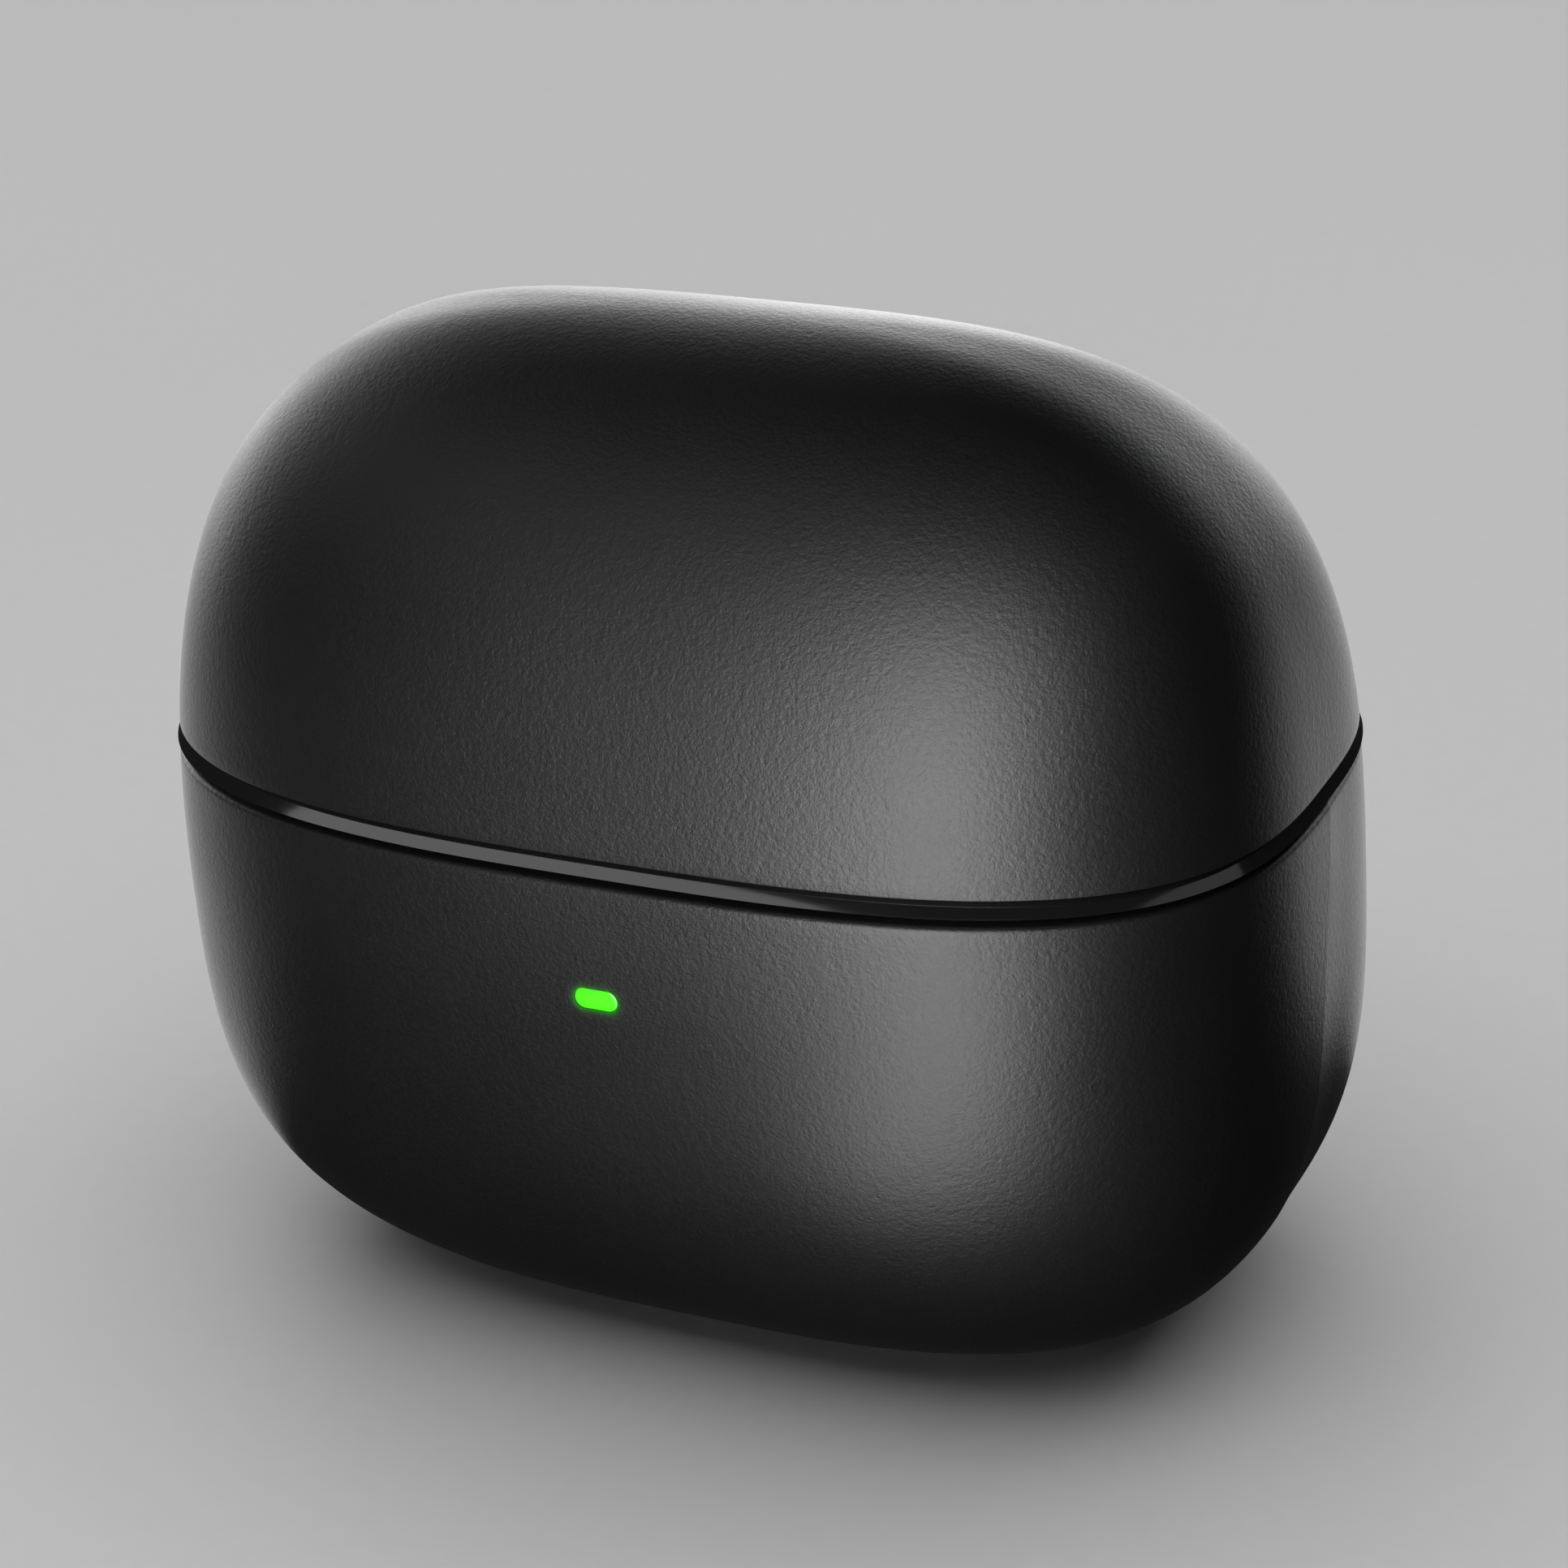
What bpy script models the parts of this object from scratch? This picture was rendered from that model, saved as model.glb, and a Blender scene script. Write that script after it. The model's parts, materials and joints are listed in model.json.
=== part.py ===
"""Wireless earbuds case: a pebble-shaped charging case with a hinged lid.

The frame is +Z up with the origin at the middle of the flat foot. The front, with the
status light, faces -Y, and +X is to the right of someone facing the front. Constants are
millimetres unless a name says otherwise; everything placed in Blender is in metres.
"""
import math

import bmesh
import bpy
from mathutils import Matrix, Vector

MM = 0.001

# Outer pebble: at height z the plan is a superellipse whose half width and half depth
# shrink along superellipse profiles above and below the widest level.
HALF_WIDTH = 29.0
HALF_DEPTH = 18.25
WIDEST = 21.3
TOP = 50.3
BOTTOM = -0.4
FOOT_LEVEL = 0.0
PLAN_POWER = 2.94
WIDTH_POWER_UP = 3.31
WIDTH_POWER_DOWN = 3.23
DEPTH_POWER_UP = 1.92
DEPTH_POWER_DOWN = 2.68
SEGMENTS = 48

# Walls and the parting line
GAP = 0.3
LID_WALL = 1.5
BASE_WALL = 1.6
LID_EDGE = 30.14
BASE_EDGE = 28.94
RING_LOW = BASE_EDGE + GAP
RING_HIGH = 29.94
RING_WIDTH = 2.6
EDGE_ROUND = 0.25

# Hinge along the rear of the parting line
HINGE_Y = 16.4
HINGE_Z = 29.54
KNUCKLE_RADIUS = 1.1
PIN_RADIUS = 0.55
BORE_RADIUS = 0.65
PIN_HALF_LENGTH = 11.0
BORE_HALF_LENGTH = 11.3
BASE_KNUCKLE_HALF = 5.8
LID_KNUCKLE_NEAR = 6.1
LID_KNUCKLE_FAR = 15.1
HINGE_ZONE_HALF = 15.5
LID_NOTCH_RADIUS = 1.75
BASE_NOTCH_RADIUS = 1.9

# Front and rear base shells meet on a plane that leans forward as it goes down
SPLIT_Y_AT_EDGE = 0.4
SPLIT_LEAN = math.radians(8.0)

# Tray and its two bays, each a bowl for the head and a slot for the stem
TRAY_TOP = 29.6
TRAY_UNDER = 28.3
TRAY_INSET = RING_WIDTH + GAP
BOWL_X = 11.8
BOWL_Z = 32.0
BOWL_RADIUS = 8.3
TRAY_WALL = 0.9
STEM_X = 15.5
STEM_RADIUS = 3.4
STEM_FLOOR = 7.5
PIN_SPREAD = 1.3
CHARGE_PIN_RADIUS = 0.5
CHARGE_PIN_RISE = 0.8
CONTACT_BLOCK_HEIGHT = 2.6

# Liner of the lid
LINER_OUTER = 4.3
LINER_INNER = 5.2
LINER_FLANGE = 1.0
LINER_RIM = LID_EDGE + 0.06

# Closing magnets, two in the lid over two in the base
MAGNET_SIZE = (5.0, 1.6, 2.4)
MAGNET_X = 9.0
LID_MAGNET_Z = 32.9
BASE_MAGNET_Z = 26.5
BUD_MAGNET_RADIUS = 2.8
BUD_MAGNET_X = 7.2
BUD_MAGNET_Z = 21.5

# Status light at the front
LIGHT_Z = 23.44
LENS_SIZE = (2.4, 1.2)
LENS_GAP = 0.15

# Electronics
BATTERY_SIZE = (19.2, 13.0, 16.0)
BATTERY_Z = 11.4
BOARD_Y = 9.5
BOARD_SIZE = (22.0, 1.0, 14.0)
BOARD_Z = 12.5
PORT_Z = 10.4
PORT_SIZE = (8.94, 3.26)
PORT_DEPTH = 6.2
BUTTON_Z = 16.6
BUTTON_RADIUS = 2.3
BUTTON_FACE = 17.95
SWITCH_FACE = 11.8

CASE_COLLECTION = "earbuds_case"
CUTTER_COLLECTION = "cutters"


def clear_scene():
    """Removes every object, so that the script always starts from nothing."""
    for item in list(bpy.data.objects):
        bpy.data.objects.remove(item, do_unlink=True)


def collection(name):
    """Returns the collection of that name in the scene, made when it is missing."""
    found = bpy.data.collections.get(name)
    if found is None:
        found = bpy.data.collections.new(name)
        bpy.context.scene.collection.children.link(found)
    return found


def finish(name, colour, roughness, metallic=0.0, glow=0.0):
    """Returns a Principled material."""
    shader = bpy.data.materials.new(name)
    shader.use_nodes = True
    surface = shader.node_tree.nodes["Principled BSDF"]
    surface.inputs["Base Color"].default_value = (*colour, 1.0)
    surface.inputs["Roughness"].default_value = roughness
    surface.inputs["Metallic"].default_value = metallic
    surface.inputs["Emission Color"].default_value = (*colour, 1.0)
    surface.inputs["Emission Strength"].default_value = glow
    return shader


# Solids

def add_object(name, shape, centre=(0.0, 0.0, 0.0), shader=None):
    """Turns a bmesh in millimetres into a smooth-shaded object at centre.

    With no shader it is a cutter: it goes in the cutters' collection as a wire.
    """
    bmesh.ops.scale(shape, vec=(MM, MM, MM), verts=shape.verts)
    bmesh.ops.recalc_face_normals(shape, faces=shape.faces)
    mesh = bpy.data.meshes.new(name)
    shape.to_mesh(mesh)
    shape.free()
    mesh.shade_smooth()
    mesh.set_sharp_from_angle(angle=math.radians(30.0))
    item = bpy.data.objects.new(name, mesh)
    item.location = Vector(centre) * MM
    if shader is None:
        item.hide_render = True
        item.display_type = "WIRE"
        collection(CUTTER_COLLECTION).objects.link(item)
    else:
        mesh.materials.append(shader)
        collection(CASE_COLLECTION).objects.link(item)
    return item


def box(name, low, high, shader=None, bevel=0.0):
    """Adds a block between two corners, its edges rounded by bevel."""
    size = [top - bottom for bottom, top in zip(low, high)]
    centre = [(top + bottom) / 2.0 for bottom, top in zip(low, high)]
    shape = bmesh.new()
    bmesh.ops.create_cube(shape, size=1.0)
    bmesh.ops.scale(shape, vec=size, verts=shape.verts)
    if bevel > 0.0:
        bmesh.ops.bevel(shape, geom=shape.edges, offset=bevel, segments=2, profile=0.5,
                        affect="EDGES")
    return add_object(name, shape, centre, shader)


def turn_to(axis):
    """Returns the rotation that takes +Z to the named axis."""
    return {"X": Matrix.Rotation(math.pi / 2.0, 3, "Y"),
            "Y": Matrix.Rotation(-math.pi / 2.0, 3, "X"),
            "Z": Matrix.Identity(3)}[axis]


def add_barrel(shape, radius, start, end, axis, centre, segments=24, stretch=0.0):
    """Adds a cylinder from start to end along axis to the bmesh.

    centre holds its place across the axis. stretch pulls its two halves apart along X
    by that much in all, which makes a pill.
    """
    made = bmesh.ops.create_cone(shape, cap_ends=True, segments=segments, radius1=radius,
                                 radius2=radius, depth=end - start)["verts"]
    for vertex in made:
        if abs(vertex.co.x) > 1e-6:
            vertex.co.x += math.copysign(stretch / 2.0, vertex.co.x)
    bmesh.ops.rotate(shape, cent=(0.0, 0.0, 0.0), matrix=turn_to(axis), verts=made)
    middle = Vector(centre)
    middle["XYZ".index(axis)] += (start + end) / 2.0
    bmesh.ops.translate(shape, vec=middle, verts=made)


def barrel(name, radius, start, end, axis, centre, shader=None, segments=24, stretch=0.0):
    """Adds a cylinder, or with stretch a pill, from start to end along axis."""
    shape = bmesh.new()
    add_barrel(shape, radius, start, end, axis, (0.0, 0.0, 0.0), segments, stretch)
    return add_object(name, shape, centre, shader)


def stepped(name, steps, axis, centre, shader=None, segments=24):
    """Adds a turned piece: steps are (radius, start, end), from low to high.

    The profile runs up the axis over every step and is spun round it.
    """
    shape = bmesh.new()
    corners = [(0.0, steps[0][1])]
    for radius, start, end in steps:
        corners += [(radius, start), (radius, end)]
    corners.append((0.0, steps[-1][2]))
    points = [shape.verts.new((radius, 0.0, height)) for radius, height in corners]
    edges = [shape.edges.new(pair) for pair in zip(points, points[1:])]
    bmesh.ops.spin(shape, geom=points + edges, cent=(0.0, 0.0, 0.0), axis=(0.0, 0.0, 1.0),
                   angle=2.0 * math.pi, steps=segments, use_duplicate=False)
    bmesh.ops.remove_doubles(shape, verts=shape.verts, dist=1e-4)
    bmesh.ops.rotate(shape, cent=(0.0, 0.0, 0.0), matrix=turn_to(axis), verts=shape.verts)
    return add_object(name, shape, centre, shader)


def combine(target, tool, operation):
    """Adds an exact Boolean modifier to target."""
    modifier = target.modifiers.new(f"{operation.lower()} {tool.name}", "BOOLEAN")
    modifier.operation = operation
    modifier.object = tool
    modifier.solver = "EXACT"


def cut(target, *tools):
    """Cuts each tool out of target."""
    for tool in tools:
        combine(target, tool, "DIFFERENCE")


def join(target, *tools):
    """Joins each tool to target."""
    for tool in tools:
        combine(target, tool, "UNION")


def hang_on(item, pivot):
    """Parents item to pivot, an empty on its joint's axis, without moving it."""
    item.location -= pivot.location
    item.parent = pivot


def pivot_at(name, centre):
    """Adds an empty on a joint's axis."""
    pivot = bpy.data.objects.new(name, None)
    pivot.empty_display_size = 4.0 * MM
    pivot.location = Vector(centre) * MM
    collection(CASE_COLLECTION).objects.link(pivot)
    return pivot


# The pebble

def reach(above, inset):
    """Height of the pebble above or below its widest level, inset by a wall."""
    return (TOP - WIDEST if above else WIDEST - BOTTOM) - inset


def half_sizes(z, inset=0.0):
    """Half width and half depth of the pebble at height z, inset by a wall."""
    above = z > WIDEST
    part = min(abs(z - WIDEST) / reach(above, inset), 1.0)
    width_power = WIDTH_POWER_UP if above else WIDTH_POWER_DOWN
    depth_power = DEPTH_POWER_UP if above else DEPTH_POWER_DOWN
    half_width = (HALF_WIDTH - inset) * (1.0 - part ** width_power) ** (1.0 / width_power)
    half_depth = (HALF_DEPTH - inset) * (1.0 - part ** depth_power) ** (1.0 / depth_power)
    return half_width, half_depth


def wall_y(x, z, inset=0.0):
    """Distance of the pebble's front or rear wall from the middle plane at x and z."""
    half_width, half_depth = half_sizes(z, inset)
    return half_depth * (1.0 - (abs(x) / half_width) ** PLAN_POWER) ** (1.0 / PLAN_POWER)


def section(z, inset=0.0):
    """One plan section of the pebble: half width, half depth and height."""
    return (*half_sizes(z, inset), z)


def climb(z_start, z_end, inset, count):
    """Sections from one height to another, evenly spaced in the profile's angle."""
    def angle(z):
        part = (z - WIDEST) / reach(z > WIDEST, inset)
        return math.asin(max(-1.0, min(1.0, part)))

    first, last = angle(z_start), angle(z_end)
    sections = []
    for step in range(count + 1):
        turn = first + (last - first) * step / count
        sections.append(section(WIDEST + reach(turn > 0.0, inset) * math.sin(turn), inset))
    return sections


def loft(name, sections, shader=None, closed=False):
    """Lofts superellipse sections: capped at both ends, or closed into a ring."""
    shape = bmesh.new()
    rings = []
    for half_width, half_depth, z in sections:
        ring = []
        for step in range(SEGMENTS):
            turn = 2.0 * math.pi * step / SEGMENTS
            across, along = math.cos(turn), math.sin(turn)
            x = half_width * math.copysign(abs(across) ** (2.0 / PLAN_POWER), across)
            y = half_depth * math.copysign(abs(along) ** (2.0 / PLAN_POWER), along)
            ring.append(shape.verts.new((x, y, z)))
        rings.append(ring)
    pairs = list(zip(rings, rings[1:]))
    if closed:
        pairs.append((rings[-1], rings[0]))
    for lower, upper in pairs:
        for step in range(SEGMENTS):
            after = (step + 1) % SEGMENTS
            shape.faces.new((lower[step], lower[after], upper[after], upper[step]))
    if not closed:
        shape.faces.new(reversed(rings[0]))
        shape.faces.new(rings[-1])
    return add_object(name, shape, (0.0, 0.0, 0.0), shader)


# Lid

def hinge_gap(name, radius, half_length=HINGE_ZONE_HALF):
    """A cylinder about the hinge axis that clears the knuckles."""
    return barrel(name, radius, -half_length, half_length, "X", (0.0, HINGE_Y, HINGE_Z))


def build_lid_shell(shader):
    """The outer lid: a dome with an open mouth and a notch for the hinge."""
    near_top = 0.03
    outer = climb(TOP - near_top, LID_EDGE + EDGE_ROUND, 0.0, 13)
    inner = climb(LID_EDGE, TOP - LID_WALL - near_top, LID_WALL, 9)
    edge = [section(LID_EDGE, EDGE_ROUND)]
    lid = loft("lid_shell", outer + edge + inner, shader)
    cut(lid, hinge_gap("lid_hinge_gap", LID_NOTCH_RADIUS))
    return lid


def build_lid_liner(shader):
    """The inner lid: a smaller dome with a flange that closes the wall at the mouth."""
    near_top = 0.05
    flange_top = LINER_RIM + LINER_FLANGE
    outer = climb(TOP - LINER_OUTER - near_top, flange_top, LINER_OUTER, 8)
    flange = [section(flange_top, LID_WALL + GAP), section(LINER_RIM, LID_WALL + GAP)]
    inner = climb(LINER_RIM, TOP - LINER_INNER - near_top, LINER_INNER, 8)
    liner = loft("lid_liner", outer + flange + inner, shader)
    rear = wall_y(0.0, LINER_RIM, LINER_OUTER)
    notch = box("liner_hinge_notch", (-HINGE_ZONE_HALF, rear, LINER_RIM - 2.0),
                (HINGE_ZONE_HALF, HALF_DEPTH, flange_top + 0.5))
    cut(liner, notch)
    return liner


def flush_with_case(bracket, name):
    """Keeps only what lies inside the pebble, so that knuckles end flush with its wall."""
    near_top = 0.05
    combine(bracket, loft(name, climb(TOP - near_top, FOOT_LEVEL, 0.0, 24)), "INTERSECT")


def build_lid_hinge_bracket(shader):
    """Two knuckles on a bar behind the liner."""
    bar_front, bar_back = 13.25, 14.1
    arm_low = TRAY_TOP + 0.35
    arm_high = HINGE_Z + KNUCKLE_RADIUS - 0.05
    bracket = box("lid_hinge_bracket", (-12.0, bar_front, arm_low), (12.0, bar_back, 33.0), shader)
    for side, sign in (("left", -1.0), ("right", 1.0)):
        near, far = sorted((sign * LID_KNUCKLE_NEAR, sign * LID_KNUCKLE_FAR))
        knuckle = barrel(f"lid_knuckle_{side}", KNUCKLE_RADIUS, near, far, "X",
                         (0.0, HINGE_Y, HINGE_Z))
        reach_near, reach_far = sorted((sign * LID_KNUCKLE_NEAR, sign * 11.8))
        arm = box(f"lid_arm_{side}", (reach_near, bar_front + 0.1, arm_low + 0.01),
                  (reach_far, HINGE_Y, arm_high))
        join(bracket, knuckle, arm)
    bore = barrel("lid_bore", BORE_RADIUS, -BORE_HALF_LENGTH, BORE_HALF_LENGTH, "X",
                  (0.0, HINGE_Y, HINGE_Z))
    cut(bracket, bore)
    flush_with_case(bracket, "lid_knuckle_trim")
    return bracket


def magnet(name, x, y, z, shader):
    """One closing magnet, a small block with rounded edges."""
    low = [value - size / 2.0 for value, size in zip((x, y, z), MAGNET_SIZE)]
    high = [value + size / 2.0 for value, size in zip((x, y, z), MAGNET_SIZE)]
    return box(name, low, high, shader, bevel=0.2)


def build_lid(shaders):
    """Everything that swings with the lid, hung on the hinge axis."""
    axis = pivot_at("lid_hinge_axis", (0.0, HINGE_Y, HINGE_Z))
    pieces = [build_lid_shell(shaders["shell"]), build_lid_liner(shaders["liner"]),
              build_lid_hinge_bracket(shaders["steel"])]
    for side, sign in (("left", -1.0), ("right", 1.0)):
        high = LID_MAGNET_Z + MAGNET_SIZE[2] / 2.0
        reach_x = MAGNET_X + MAGNET_SIZE[0] / 2.0
        y = -(wall_y(reach_x, high, LID_WALL) - GAP - MAGNET_SIZE[1] / 2.0)
        pieces.append(magnet(f"lid_magnet_{side}", sign * MAGNET_X, y, LID_MAGNET_Z,
                             shaders["magnet"]))
    for piece in pieces:
        hang_on(piece, axis)


# Base shells

def split_block(name, front):
    """A big block on one side of the shells' parting plane, reaching GAP / 2 past it."""
    half = 60.0
    sign = -1.0 if front else 1.0
    shape = bmesh.new()
    bmesh.ops.create_cube(shape, size=2.0 * half)
    bmesh.ops.translate(shape, vec=(0.0, sign * (half - GAP / 2.0), 0.0), verts=shape.verts)
    lean = Matrix.Rotation(-SPLIT_LEAN, 3, "X")
    bmesh.ops.rotate(shape, cent=(0.0, 0.0, 0.0), matrix=lean, verts=shape.verts)
    return add_object(name, shape, (0.0, SPLIT_Y_AT_EDGE, BASE_EDGE))


def base_cup(name, shader):
    """The whole base wall as one cup, flat at the foot and open at the top."""
    low_inside = BOTTOM + BASE_WALL + 0.05
    outer = climb(FOOT_LEVEL, BASE_EDGE - EDGE_ROUND, 0.0, 14)
    edge = [section(BASE_EDGE, EDGE_ROUND)]
    inner = climb(BASE_EDGE, low_inside, BASE_WALL, 11)
    return loft(name, outer + edge + inner, shader)


def build_base_front_shell(shader):
    """Front shell of the base with the window of the status light."""
    shell = base_cup("base_front_shell", shader)
    width, height = (size + 2.0 * LENS_GAP for size in LENS_SIZE)
    window = barrel("light_window", height / 2.0, -20.0, -14.0, "Y", (0.0, 0.0, LIGHT_Z),
                    stretch=width - height)
    cut(shell, split_block("rear_side", front=False), window)
    return shell


def build_base_rear_shell(shader):
    """Rear shell with the charging port, the button's hole, bosses and hinge gap."""
    shell = base_cup("base_rear_shell", shader)
    cut(shell, split_block("front_side", front=True))
    bosses = [("hinge_boss", 7.5, 24.6, 15.95, 17.2), ("board_boss", 9.0, 17.6, 10.3, 16.6)]
    for name, x, z, start, end in bosses:
        for side, sign in (("left", -1.0), ("right", 1.0)):
            place = (sign * x, 0.0, z)
            join(shell, barrel(f"{name}_{side}", 1.35, start, end, "Y", place, segments=16))
            cut(shell, barrel(f"{name}_hole_{side}", 0.8, start - 1.0, end - 0.3, "Y", place,
                              segments=16))
    width, height = (size + 2.0 * GAP for size in PORT_SIZE)
    port = barrel("port_mouth", height / 2.0, 12.0, 20.0, "Y", (0.0, 0.0, PORT_Z),
                  stretch=width - height)
    hole = barrel("button_hole", BUTTON_RADIUS + GAP, 13.0, 20.0, "Y", (0.0, 0.0, BUTTON_Z))
    cut(shell, port, hole, hinge_gap("base_hinge_gap", BASE_NOTCH_RADIUS))
    return shell


def build_rim_ring(shader):
    """The glossy ring that shows between lid and base, open at the hinge."""
    middle = (RING_LOW + RING_HIGH) / 2.0
    outside = [section(RING_LOW, 0.15), section(middle, -0.05), section(RING_HIGH, 0.15)]
    inside = [section(RING_HIGH, RING_WIDTH), section(RING_LOW, RING_WIDTH)]
    ring = loft("rim_ring", outside + inside, shader, closed=True)
    opening = box("ring_opening", (-HINGE_ZONE_HALF, 8.0, RING_LOW - 1.0),
                  (HINGE_ZONE_HALF, 22.0, RING_HIGH + 1.0))
    cut(ring, opening)
    return ring


def build_bud_tray(shader):
    """The tray: a plate with two walled bays hanging below it."""
    tray = loft("bud_tray", [section(TRAY_UNDER, TRAY_INSET), section(TRAY_TOP, TRAY_INSET)],
                shader)
    hollows = []
    for side, sign in (("left", -1.0), ("right", 1.0)):
        for name, wall in (("wall", TRAY_WALL), ("hollow", 0.0)):
            shape = bmesh.new()
            bmesh.ops.create_uvsphere(shape, u_segments=24, v_segments=14,
                                      radius=BOWL_RADIUS + wall)
            bowl = add_object(f"bowl_{name}_{side}", shape, (sign * BOWL_X, 0.0, BOWL_Z))
            stem = barrel(f"stem_{name}_{side}", STEM_RADIUS + wall, STEM_FLOOR - wall,
                          BOWL_Z - 1.0, "Z", (sign * STEM_X, 0.0, 0.0), segments=24)
            if name == "wall":
                join(tray, bowl, stem)
            else:
                hollows += [bowl, stem]
        for end, y in (("front", -PIN_SPREAD), ("rear", PIN_SPREAD)):
            hollows.append(barrel(f"pin_hole_{side}_{end}", CHARGE_PIN_RADIUS + GAP, 4.0, 9.0,
                                  "Z", (sign * STEM_X, y, 0.0), segments=12))
    trim = box("above_tray", (-40.0, -30.0, TRAY_TOP), (40.0, 30.0, BOWL_Z + 12.0))
    cut(tray, *hollows, trim)
    return tray


# Hinge on the base

def build_base_hinge(shaders):
    """Centre knuckle on a plate, its two screws and the pin through every knuckle."""
    plate_front, plate_back = 14.9, 15.65
    bracket = box("base_hinge_bracket", (-9.2, plate_front, 22.6), (9.2, plate_back, 26.6),
                  shaders["steel"])
    neck = box("hinge_neck", (-BASE_KNUCKLE_HALF, plate_front + 0.01, 26.0),
               (BASE_KNUCKLE_HALF, plate_back + 0.01, 29.1))
    shelf = box("hinge_shelf", (-BASE_KNUCKLE_HALF, plate_front + 0.02, 28.55),
                (BASE_KNUCKLE_HALF, HINGE_Y, 29.15))
    knuckle = barrel("base_knuckle", KNUCKLE_RADIUS, -BASE_KNUCKLE_HALF, BASE_KNUCKLE_HALF,
                     "X", (0.0, HINGE_Y, HINGE_Z))
    join(bracket, neck, shelf, knuckle)
    cut(bracket, barrel("base_bore", BORE_RADIUS, -BORE_HALF_LENGTH, BORE_HALF_LENGTH, "X",
                        (0.0, HINGE_Y, HINGE_Z)))
    flush_with_case(bracket, "base_knuckle_trim")
    barrel("hinge_pin", PIN_RADIUS, -PIN_HALF_LENGTH, PIN_HALF_LENGTH, "X",
           (0.0, HINGE_Y, HINGE_Z), shaders["steel"])
    for side, sign in (("left", -1.0), ("right", 1.0)):
        place = (sign * 7.5, 0.0, 24.6)
        cut(bracket, barrel(f"plate_hole_{side}", 0.8, 14.0, 17.0, "Y", place, segments=16))
        steps = [(1.25, 14.0, 14.6), (0.5, 14.6, 16.7)]
        stepped(f"hinge_screw_{side}", steps, "Y", place, shaders["screw"], segments=16)


# Magnets, contacts and electronics

def build_base_magnets(shaders):
    """Closing magnets under the tray's flange and the discs that hold the buds."""
    for side, sign in (("left", -1.0), ("right", 1.0)):
        reach_x = MAGNET_X + MAGNET_SIZE[0] / 2.0
        y = -(wall_y(reach_x, TRAY_UNDER, BASE_WALL) - GAP - MAGNET_SIZE[1] / 2.0)
        magnet(f"base_magnet_{side}", sign * MAGNET_X, y, BASE_MAGNET_Z, shaders["magnet"])
        barrel(f"bud_magnet_{side}", BUD_MAGNET_RADIUS, -0.7, 0.7, "Z",
               (sign * BUD_MAGNET_X, 0.0, BUD_MAGNET_Z), shaders["magnet"])


def build_contacts(shaders):
    """Under each slot a block that guides two sprung charging pins."""
    block_top = STEM_FLOOR - TRAY_WALL - GAP
    block_low = block_top - CONTACT_BLOCK_HEIGHT
    for side, sign in (("left", -1.0), ("right", 1.0)):
        x = sign * STEM_X
        block = box(f"contact_block_{side}", (x - 1.8, -3.2, block_low), (x + 1.8, 3.2, block_top),
                    shaders["plastic"], bevel=0.25)
        for end, y in (("front", -PIN_SPREAD), ("rear", PIN_SPREAD)):
            hole = barrel(f"guide_{side}_{end}", CHARGE_PIN_RADIUS + GAP, block_low + 0.5,
                          block_top + 1.0, "Z", (x, y, 0.0), segments=12)
            cut(block, hole)
            top = STEM_FLOOR + CHARGE_PIN_RISE
            steps = [(CHARGE_PIN_RADIUS, block_low + 1.3, top - 0.2),
                     (CHARGE_PIN_RADIUS - 0.2, top - 0.2, top)]
            stepped(f"charge_pin_{side}_{end}", steps, "Z", (x, y, 0.0), shaders["gold"],
                    segments=12)


def build_battery(shaders):
    """The cell between the slots, on a foam pad."""
    width, depth, height = BATTERY_SIZE
    low = BATTERY_Z - height / 2.0
    box("battery_cell", (-width / 2.0, -depth / 2.0, low), (width / 2.0, depth / 2.0, low + height),
        shaders["cell"], bevel=0.8)
    box("battery_pad", (-8.0, -5.0, low - 1.0), (8.0, 5.0, low - GAP), shaders["foam"])


def build_main_board(shaders):
    """The upright board behind the battery, with its screws, port and switch."""
    width, thick, height = BOARD_SIZE
    front, back = BOARD_Y - thick / 2.0, BOARD_Y + thick / 2.0
    board = box("main_board", (-width / 2.0, front, BOARD_Z - height / 2.0),
                (width / 2.0, back, BOARD_Z + height / 2.0), shaders["board"])
    for side, sign in (("left", -1.0), ("right", 1.0)):
        place = (sign * 9.0, 0.0, 17.6)
        cut(board, barrel(f"board_hole_{side}", 0.8, 8.0, 11.0, "Y", place, segments=16))
        steps = [(1.25, front - 0.9, front - 0.3), (0.5, front - 0.3, 14.0)]
        stepped(f"board_screw_{side}", steps, "Y", place, shaders["screw"], segments=16)

    port_start = back + GAP
    port_end = port_start + PORT_DEPTH
    width, height = PORT_SIZE
    place = (0.0, 0.0, PORT_Z)
    socket = barrel("usb_c_receptacle", height / 2.0, port_start, port_end, "Y", place,
                    shaders["steel"], stretch=width - height)
    inner = height - 0.6
    pocket = barrel("socket_pocket", inner / 2.0, port_start + 1.0, port_end + 1.0, "Y", place,
                    stretch=width - height)
    tongue = box("socket_tongue", (-3.35, port_start + 0.5, PORT_Z - 0.35),
                 (3.35, port_end - 0.6, PORT_Z + 0.35))
    cut(socket, pocket)
    join(socket, tongue)

    switch_base = back + GAP
    box("button_switch", (-2.0, switch_base, BUTTON_Z - 2.0), (2.0, SWITCH_FACE, BUTTON_Z + 2.0),
        shaders["plastic"], bevel=0.2)


def build_button(shader):
    """The small pairing button: a cap with a collar inside the wall and a stem."""
    steps = [(0.9, SWITCH_FACE + 0.55, 14.7), (BUTTON_RADIUS + 0.8, 14.7, 15.7),
             (BUTTON_RADIUS, 15.7, BUTTON_FACE - 0.2), (BUTTON_RADIUS - 0.2, BUTTON_FACE - 0.2,
                                                        BUTTON_FACE)]
    stepped("pair_button", steps, "Y", (0.0, 0.0, BUTTON_Z), shader, segments=32)


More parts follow.
